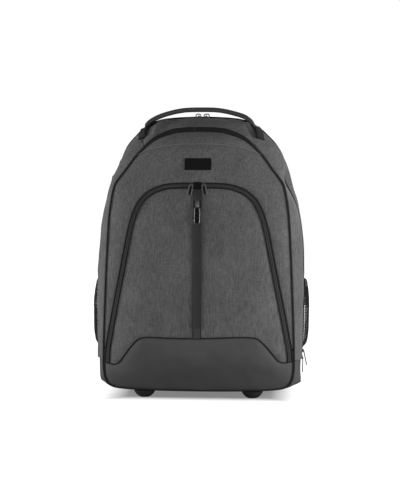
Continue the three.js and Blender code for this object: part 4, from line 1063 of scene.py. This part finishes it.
carry = {"span": 186, "thick": 8.3, "deep": 17, "top": 494, "drop": 56, "set": 12, "webbing": 2.8}
carryLines = {  # share of the half span, share of the drop, share of the set back
    -1: [(0, 0, 1), (.33, .02, 1), (.62, .12, .93), (.82, .24, .8), (.96, .38, .65), (1.03, .52, .5)],
    1: [(0, 0, 1), (.33, .02, 1), (.62, .12, .93), (.82, .235, .8), (.915, .36, .65), (.965, .48, .5)]}
carrySeats = {  # where the webbing lies on the gusset: row past the corner, share across, lift
    -1: ((.85, .74, .6), (.52, .52, .3), (.25, .3, -.6)),
    1: ((1.0, .74, .8), (.52, .52, .3), (.12, .32, -.6))}


def carryPoint(row, sign):
    x, drop, back = row
    return (sign * x * carry["span"] / 2, bag["ridgeDepth"] + back * carry["set"] - 6,
            carry["top"] - carry["thick"] / 2 - drop * carry["drop"])


def onGusset(row, v, lift):
    # A point on the front gusset, lifted off it, and the way across it.
    def at(r, w):
        return frontGusset(np.array([r]), np.array([w]))[0]
    step = 0.02
    along = at(row + step, v) - at(row - step, v)
    across = at(row, v + step) - at(row, v - step)
    across /= np.linalg.norm(across)
    normal = np.cross(along, across)
    normal /= np.linalg.norm(normal)
    if normal[0] * at(row, v)[0] < 0:
        normal = -normal
    return at(row, v) + normal * lift, across


def carryHandle():
    half = [[carryPoint(row, sign) for row in carryLines[sign]] for sign in (-1, 1)]
    points = spline(half[0][::-1] + half[1][1:], 9)
    count = len(points)
    axes = np.tile([0.0, 1.0, 0.0], (count, 1))
    end = np.clip(np.minimum(np.arange(count), np.arange(count)[::-1]) / 3, 0, 1)
    size = 0.72 + 0.28 * np.sqrt(end)
    bm = sweep(points, axes, carry["deep"] * size, carry["thick"] * size, sides=24, square=0.85)
    piece = makePiece("carry_handle", bm, handleLook, ["carry_handle"])
    for side, sign in (("left", -1), ("right", 1)):
        end = np.array(carryPoint(carryLines[sign][-1], sign))
        before = np.array(carryPoint(carryLines[sign][-2], sign))
        way = (end - before) / np.linalg.norm(end - before)
        depthAxis = np.array([0.0, 1.0, 0.0])
        lift = carry["webbing"] / 2 + 0.9
        seats = [(end - way * 3, depthAxis), (end + way * 3, depthAxis)]
        seats += [onGusset(sign * (cornerRow + r), v, lift + up) for r, v, up in carrySeats[sign]]
        line = spline([seat[0] for seat in seats], 8)
        spread = np.linspace(0, len(seats) - 1, len(line))
        axes = np.array([[np.interp(s, range(len(seats)), [seat[1][k] for seat in seats]) for k in range(3)]
                         for s in spread])
        bm = sweep(line, axes, np.full(len(line), 16.0), np.full(len(line), carry["webbing"]), sides=16,
                   square=0.4)
        makePiece(f"carry_webbing_{side}", bm, webbingLook, [f"carry_webbing_{side}"])


carryHandle()
print("carry handle made")

# shoulder straps

straps = {"spacing": 124, "reach": 240, "top": 428, "stand": 24, "thick": 11, "wide": 62,
          "x": [.92, .93, .95, 1, 1.08, 1.2, 1.32, 1.36], "z": [1, .97, .88, .7, .48, .25, .07, 0],
          "out": [0, .5, .82, 1, 1, .9, .72, .62], "width": [.95, .97, 1, 1, .97, .86, .72, .6],
          "thickness": [.35, .75, 1, 1, 1, 1, .85, .5]}


def shoulderStraps():
    for side, sign in (("left", -1), ("right", 1)):
        back = backs["face"] + 0.3 + straps["thick"] * straps["thickness"][0] / 2
        stops = [(sign * x * straps["spacing"] / 2, back + out * straps["stand"],
                  straps["top"] - straps["reach"] * (1 - z))
                 for x, z, out in zip(straps["x"], straps["z"], straps["out"])]
        line = spline(stops, 12)
        place = np.linspace(0, len(stops) - 1, len(line))
        wide = np.interp(place, range(len(stops)), straps["width"]) * straps["wide"]
        thick = np.interp(place, range(len(stops)), straps["thickness"]) * straps["thick"]
        axes = np.tile([1.0, 0.0, 0.0], (len(line), 1))
        bm = sweep(line, axes, wide, thick, sides=36, square=0.62)
        piece = makePiece(f"shoulder_strap_{side}", bm, padLook, [f"shoulder_strap_{side}"])
        end = np.array(stops[-1])
        low = seamPoint("back", np.array([sign * (seamRow + 0.6)]), -14.0)
        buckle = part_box(f"strap_buckle_{side}")
        lowest, highest = ([c / mm for c in corner] for corner in buckle)
        centre = np.array([(lowest[k] + highest[k]) / 2 for k in range(3)])
        centre[1] -= depthShift
        lineStart = np.array([centre[0], centre[1] + 2.2 + 0.3 + 0.8, highest[2] - 3])
        foot = np.array([low[0][0], backs["face"] + 0.3 + 1.6, low[1][0]])
        passing = lineStart + np.array([sign, 0.3, -25])
        near = foot + np.array([-sign * 9, 3.5, 16])
        middle = (passing + near) / 2 + np.array([0, 2, 0])
        line = spline([lineStart, passing, middle, near, foot], 10)
        bm = sweep(line, np.tile([1.0, 0.0, 0.0], (len(line), 1)), np.full(len(line), 25.0),
                   np.full(len(line), 1.6), sides=16, square=0.4)
        makePiece(f"strap_webbing_{side}", bm, webbingLook, [f"strap_webbing_{side}"])


shoulderStraps()
print("shoulder straps made")

# side pockets: an open net with a bound top edge

pockets = {"foot": 78, "head": 196, "bulge": 10, "bindingFoot": 0.9, "cellsUp": 40, "cellsAcross": 22,
           "up": [0, .04, .14, .3, .57, .8, .93, 1], "rise": [0, .55, .88, 1, 1, .84, .6, .42],
           "sideRise": {-1: 1.25, 1: 0.85}}
pocketRise = smoothTable(pockets["up"], pockets["rise"])
rowHeights = np.linspace(seamRow, upperRow, 400)
heightRows = seamPoint("ridge", rowHeights)[1]


def pocketSurface(sign, lift):
    def at(up, v):
        z = pockets["foot"] + up * (pockets["head"] - pockets["foot"])
        row = sign * np.interp(z, heightRows, rowHeights)
        p = rearGusset(row, 0.06 + 0.88 * v)
        flank = np.maximum(0, np.sin(math.pi * np.clip(v, 0, 1))) ** 0.55
        p[:, 0] += sign * (0.8 + lift + pockets["bulge"] * pockets["sideRise"][sign] * flank * pocketRise(up))
        return p
    return at


def sidePockets():
    for side, sign in (("left", -1), ("right", 1)):
        surface = pocketSurface(sign, 0.6)
        bm, u, v = gridMesh(pockets["cellsUp"], pockets["cellsAcross"])
        moveTo(bm, surface(u * pockets["bindingFoot"], v))
        strand = bmesh.ops.inset_individual(bm, faces=bm.faces[:], thickness=0.6, use_even_offset=True)
        holes = [f for f in bm.faces if f not in set(strand["faces"])]
        bmesh.ops.delete(bm, geom=holes, context="FACES_ONLY")
        thicken(bm, 0.5, lambda p: Vector((sign, 0, 0)))
        makePiece(f"mesh_pocket_{side}", bm, netLook, [f"mesh_pocket_{side}"])
        bm, u, v = gridMesh(10, 60)
        up = pockets["bindingFoot"] + u * (1 - pockets["bindingFoot"]) - 0.006
        base = surface(up, v)
        roll = 0.9 * np.sin(math.pi * u)
        base[:, 0] += sign * roll
        moveTo(bm, base)
        thicken(bm, 1.4, lambda p: Vector((sign, 0, 0)))
        makePiece(f"pocket_binding_{side}", bm, bindingLook, [f"pocket_binding_{side}"])


sidePockets()
print("side pockets made")

# hard parts: the CAD's own solids with softened edges

hardParts = {
    "trolley_base": (mouldedLook, 1.2), "handle_bezel": (mouldedLook, 1.0), "trolley_grip": (mouldedLook, 1.6),
    "grip_button": (darkMetalLook, 0.5), "strap_buckle_left": (mouldedLook, 0.6),
    "strap_buckle_right": (mouldedLook, 0.6),
}
for name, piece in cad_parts.items():
    if name in hardParts:
        material, width = hardParts[name]
        piece.data.materials.clear()
        piece.data.materials.append(material)
        weld = piece.modifiers.new("weld", "WELD")
        weld.merge_threshold = 0.00002
        bevel = piece.modifiers.new("bevel", "BEVEL")
        bevel.width = width * mm
        bevel.segments = 3
        bevel.limit_method = "ANGLE"
        bevel.angle_limit = math.radians(40)
    elif "tube" in name or "axle" in name:
        piece.data.materials.clear()
        piece.data.materials.append(steelLook if "inner" in name or "axle" in name else darkMetalLook)
print("hard parts finished")


def turned(profile, steps=64):
    # A body of revolution about X from (x, radius) points, with its ends closed.
    bm = bmesh.new()
    ring = [bm.verts.new((x, 0, r)) for x, r in profile]
    edges = [bm.edges.new((a, b)) for a, b in zip(ring, ring[1:])]
    bmesh.ops.spin(bm, geom=ring + edges, cent=(0, 0, 0), axis=(1, 0, 0), angle=2 * math.pi,
                   steps=steps, use_merge=True, use_duplicate=False)
    bmesh.ops.remove_doubles(bm, verts=bm.verts[:], dist=0.01)
    bmesh.ops.holes_fill(bm, edges=[e for e in bm.edges if e.is_boundary], sides=0)
    bmesh.ops.recalc_face_normals(bm, faces=bm.faces[:])
    return bm


wheels = {"radius": 29, "half": 14, "tread": 7, "bore": 4.3, "hub": 20, "recess": 2.5, "x": 92}


def makeWheels():
    for side, sign in (("left", -1), ("right", 1)):
        r, half, tread = wheels["radius"], wheels["half"], wheels["tread"]
        outer = [(-half + tread * (1 - math.cos(a)), r - tread + tread * math.sin(a))
                 for a in np.linspace(0, math.pi / 2, 9)]
        left = [(-half + wheels["recess"], wheels["bore"] + 0.2), (-half + wheels["recess"], wheels["hub"] - 1),
                (-half + 0.4, wheels["hub"])]
        profile = left + outer
        profile = profile + [(-x, radius) for x, radius in profile[::-1]]
        bm = turned(profile + [profile[0]])
        bmesh.ops.translate(bm, vec=(sign * wheels["x"], wheelSet, wheels["radius"]), verts=bm.verts[:])
        makePiece(f"wheel_{side}", bm, rubberLook, [f"wheel_{side}"], body=f"wheel_{side}",
                  smooth=35)


feet = {"radius": 19.4, "flat": 7.5, "set": 56, "x": 92, "top": 12.4}


def makeFeet():
    for side, sign in (("left", -1), ("right", 1)):
        centre = math.sqrt(feet["radius"] ** 2 - feet["flat"] ** 2)
        start = math.asin(feet["flat"] / feet["radius"])
        end = math.pi / 2 - math.asin((centre - feet["top"]) / feet["radius"])
        profile = [(0, 0)] + [(centre - feet["radius"] * math.cos(a), feet["radius"] * math.sin(a))
                              for a in np.linspace(start, end, 16)] + [(feet["top"], 0)]
        bm = turned(profile)
        bmesh.ops.rotate(bm, cent=(0, 0, 0), matrix=Matrix.Rotation(-math.pi / 2, 3, "Y"), verts=bm.verts[:])
        bmesh.ops.translate(bm, vec=(sign * feet["x"], -feet["set"], 0), verts=bm.verts[:])
        makePiece(f"front_foot_{side}", bm, rubberLook, [f"front_foot_{side}"])


makeWheels()
makeFeet()
print("wheels and feet made")

# zip sliders and pulls


def softBox(bm, size, centre, round_=0.6, segments=2):
    made = bmesh.ops.create_cube(bm, size=1.0)
    verts = made["verts"]
    bmesh.ops.scale(bm, vec=size, verts=verts)
    bmesh.ops.translate(bm, vec=centre, verts=verts)
    edges = list({e for vertex in verts for e in vertex.link_edges})
    bmesh.ops.bevel(bm, geom=edges, offset=round_, offset_type="OFFSET", affect="EDGES", segments=segments,
                    profile=0.5, material=-1)


def ringPull(bm, wide, long, thick, top, y, wire):
    # A flat ring: a long loop of wire hanging from top, in x and z.
    w, h = wide / 2 - wire / 2, long / 2 - wire / 2
    corner = min(w, h) * 0.75
    loop = []
    for cx, cz, a0 in ((w - corner, h - corner, 0), (-w + corner, h - corner, 90),
                       (-w + corner, -h + corner, 180), (w - corner, -h + corner, 270)):
        for k in range(7):
            a = math.radians(a0 + k * 15)
            loop.append((cx + corner * math.cos(a), cz + corner * math.sin(a)))
    loop.append(loop[0])
    centres = np.array([(x, y, top - long / 2 + z) for x, z in loop])
    count = len(centres) - 1
    way = np.roll(centres[:-1], -1, axis=0) - np.roll(centres[:-1], 1, axis=0)
    way = np.vstack([way, way[:1]])
    way /= np.linalg.norm(way, axis=1)[:, None]
    side = np.cross(way, np.array([0.0, 1.0, 0.0]))
    grid, u, v = gridMesh(count, 10)
    k = np.rint(u * count).astype(int)
    a = 2 * math.pi * v
    points = (centres[k] + side[k] * (np.cos(a) * wire / 2)[:, None]
              + np.array([0.0, 1.0, 0.0]) * (np.sin(a) * thick / 2)[:, None])
    moveTo(grid, points)
    bmesh.ops.remove_doubles(grid, verts=grid.verts[:], dist=0.01)
    bmesh.ops.recalc_face_normals(grid, faces=grid.faces[:])
    carrier = bpy.data.meshes.new("pullRing")
    grid.to_mesh(carrier)
    grid.free()
    bm.from_mesh(carrier)
    bpy.data.meshes.remove(carrier)


def sliderMesh(bodyWide, bodyLong, bodyHigh, ringWide, ringLong, ringThick, wire, top=0.3, swing=0.0):
    # a slider that runs in z and faces -Y, with its bridge and a ring that hangs, swung out at its foot
    bm = bmesh.new()
    softBox(bm, (bodyWide, bodyHigh * 0.45, bodyLong), (0, -bodyHigh * 0.25, 0), 0.7)
    softBox(bm, (bodyWide * 0.42, bodyHigh * 0.6, bodyLong * 0.82), (0, -bodyHigh * 0.7, 0), 0.6)
    bm.verts.ensure_lookup_table()
    count = len(bm.verts)
    ringPull(bm, ringWide, ringLong, ringThick, bodyLong * top, -bodyHigh * 0.98, wire)
    bm.verts.ensure_lookup_table()
    bmesh.ops.rotate(bm, cent=(0, -bodyHigh * 0.98, bodyLong * top), matrix=Matrix.Rotation(-swing, 3, "X"),
                     verts=bm.verts[count:])
    return bm


def placeSlider(name, bm, at, turn, material):
    rotation = Matrix.Rotation(turn[0], 3, "X")
    bmesh.ops.rotate(bm, cent=(0, 0, 0), matrix=rotation, verts=bm.verts[:])
    bmesh.ops.rotate(bm, cent=(0, 0, 0), matrix=Matrix.Rotation(turn[1], 3, "Y"), verts=bm.verts[:])
    bmesh.ops.rotate(bm, cent=(0, 0, 0), matrix=Matrix.Rotation(turn[2], 3, "Z"), verts=bm.verts[:])
    bmesh.ops.translate(bm, vec=at, verts=bm.verts[:])
    makePiece(name, bm, material, [name], smooth=40)


def faceTilt(x, z):
    d = 4.0
    slope = (faceDepth(np.array([x]), np.array([z + d]))[0] - faceDepth(np.array([x]), np.array([z - d]))[0]) / (2 * d)
    return -math.atan(slope)


def pullInsert(name, wide, long, thick, drop, at, turn):
    # the dark middle of a pull, in its ring
    bm = bmesh.new()
    softBox(bm, (wide, thick, long), (0, 0, -drop), 0.4)
    for angle, axis in zip(turn, "XYZ"):
        bmesh.ops.rotate(bm, cent=(0, 0, 0), matrix=Matrix.Rotation(angle, 3, axis), verts=bm.verts[:])
    bmesh.ops.translate(bm, vec=at, verts=bm.verts[:])
    makePiece(name, bm, labelLook)


def frontSliders():
    archZ = heightOf(0.752)
    for side, sign in (("left", -1), ("right", 1)):
        x = sign * 10.6
        y = faceDepth(np.array([x]), np.array([archZ]))[0] - 1.6
        turn = (faceTilt(x, archZ), sign * -0.2, 0)
        bm = sliderMesh(6.5, 8, 3, 7.6, 20, 2.0, 2.0)
        placeSlider(f"arch_slider_{side}", bm, (x, y, archZ), turn, pullLook)
        pullInsert(f"arch_pull_insert_{side}", 4.2, 15, 1.4, 8, (x, y - 3, archZ), turn)
    z = centreZip["head"] - 23
    y = faceDepth(np.array([0.0]), np.array([z]))[0] - 1.9
    turn = (faceTilt(0.0, z), 0, 0)
    bm = sliderMesh(7.5, 14, 3.4, 10.2, 30, 2.0, 1.7, top=-0.4)
    placeSlider("centre_slider", bm, (0, y, z), turn, darkMetalLook)
    pullInsert("centre_pull_insert", 6.8, 25, 1.2, 20.6, (0, y - 2.6, z), turn)


def ridgeSliders():
    top = ridgeEdge(np.array([float(lastRow)]), 0.0)[0]
    for side, sign in (("left", -1), ("right", 1)):
        bm = bmesh.new()
        softBox(bm, (6.5, 8, 2.6), (0, -1, 1.2), 0.7)
        softBox(bm, (3, 6.5, 2), (0, -1, 3.2), 0.6)
        softBox(bm, (7, 5, 3.4), (0, -6, 0.4), 0.8)
        ringPull(bm, 10.6, 8.6, 1.8, 7.4, -5, 1.9)
        placeSlider(f"ridge_slider_{side}", bm, (sign * 6 + 1.5, top[1], top[2] + 0.3), (0, 0, sign * 0.25), pullLook)


def sideSliders():
    for side, z, high, swing in (("upper", 74, 3.0, 0.2), ("lower", 62, 2.4, -0.02)):
        row = np.interp(z, heightRows, rowHeights) if z > heightRows[0] else seamRow - 0.8
        p = ridgeEdge(np.array([float(row)]), 0.0, 1.2)[0]
        bm = sliderMesh(6.5, 7, high, 5.4, 27, 1.9, 1.5, top=0.1, swing=swing)
        placeSlider(f"side_slider_{side}", bm, (p[0], p[1], z), (0, 0, math.pi / 2), sidePullLook)


frontSliders()
ridgeSliders()
sideSliders()
print("sliders made")

# floor and light

lights = [
    {"name": "sideRight", "at": (1.9, -0.35, 0.3), "to": (0.1, 0, 0.22), "size": 1.2, "power": 60},
    {"name": "sideLeft", "at": (-1.9, -0.2, 0.28), "to": (-0.1, 0, 0.22), "size": 1.1, "power": 45},
    {"name": "front", "at": (0.05, -1.5, 0.15), "to": (0, 0, 0.1), "size": 0.28, "power": 6},
    {"name": "back", "at": (0.4, 2.2, 0.9), "to": (0, 0, 0.25), "size": 1.4, "power": 40},
]
# 'under' is the floor's glow beneath the bag, which paints a shadow there; 'glow' is its glow clear of the bag,
# reached past 'sides' and 'front' over 'fade' metres
studio = {"zenith": 0.08, "horizon": 1.02, "floor": 0.3, "sides": 0.122, "front": 0.066, "fade": 0.045,
          "glow": 1.0, "under": 0.2}


def rampNode(add, link, value, stops):
    ramp = add("ShaderNodeValToRGB")
    for element, (position, level) in zip(ramp.color_ramp.elements, stops):
        element.position = position
        element.color = (level, level, level, 1)
    link(value, ramp.inputs[0])
    return ramp.outputs[0]


def makeStage():
    bm = bmesh.new()
    bmesh.ops.create_grid(bm, x_segments=1, y_segments=1, size=40)
    mesh = bpy.data.meshes.new("floor")
    bm.to_mesh(mesh)
    bm.free()
    floor = bpy.data.objects.new("floor", mesh)
    bpy.context.collection.objects.link(floor)
    material, add, link, shader = startMaterial("glowingFloor", 1.0, gloss=0.0)
    shader.inputs["Base Color"].default_value = (studio["floor"],) * 3 + (1,)
    # painted light and painted shadow: the floor glows for camera rays alone, dim beneath the bag and bright clear of
    # it
    away = add("ShaderNodeSeparateXYZ")  # a glow that starts clear of the object, for the camera alone
    link(add("ShaderNodeTexCoord").outputs["Object"], away.inputs[0])
    sideways = mathNode(add, link, "SUBTRACT", mathNode(add, link, "ABSOLUTE", away.outputs[0]), studio["sides"])
    forward = mathNode(add, link, "SUBTRACT", mathNode(add, link, "ABSOLUTE", away.outputs[1]), studio["front"])
    reach = mathNode(add, link, "DIVIDE", mathNode(add, link, "MAXIMUM", sideways, forward), studio["fade"])
    glow = rampNode(add, link, reach, [(0, studio["under"]), (1, studio["glow"])])
    shader.inputs["Emission Strength"].default_value = 1.0
    seen = add("ShaderNodeMix", data_type="RGBA")
    link(add("ShaderNodeLightPath").outputs["Is Camera Ray"], seen.inputs["Factor"])
    colours = [socket for socket in seen.inputs if socket.type == "RGBA"]
    colours[0].default_value = (0, 0, 0, 1)
    link(glow, colours[1])
    link([socket for socket in seen.outputs if socket.type == "RGBA"][0], shader.inputs["Emission Color"])
    mesh.materials.append(material)
    world = bpy.data.worlds.new("studio")
    bpy.context.scene.world = world
    world.use_nodes = True
    add, link = nodesOf(world.node_tree)
    place = add("ShaderNodeSeparateXYZ")
    link(add("ShaderNodeTexCoord").outputs["Generated"], place.inputs[0])
    background = add("ShaderNodeBackground")
    link(rampNode(add, link, place.outputs[2], [(0.1, studio["horizon"]), (0.5, studio["zenith"])]),
         background.inputs["Color"])
    link(background.outputs[0], add("ShaderNodeOutputWorld").inputs["Surface"])
    for light in lights:
        data = bpy.data.lights.new(light["name"], "AREA")
        data.size = light["size"]
        data.energy = light["power"]
        lamp = bpy.data.objects.new(light["name"], data)
        bpy.context.collection.objects.link(lamp)
        lamp.location = light["at"]
        way = Vector(light["to"]) - Vector(light["at"])
        lamp.rotation_mode = "QUATERNION"
        lamp.rotation_quaternion = way.to_track_quat("-Z", "Y")
    bpy.context.scene.view_settings.view_transform = "Standard"


makeStage()
print("stage made")
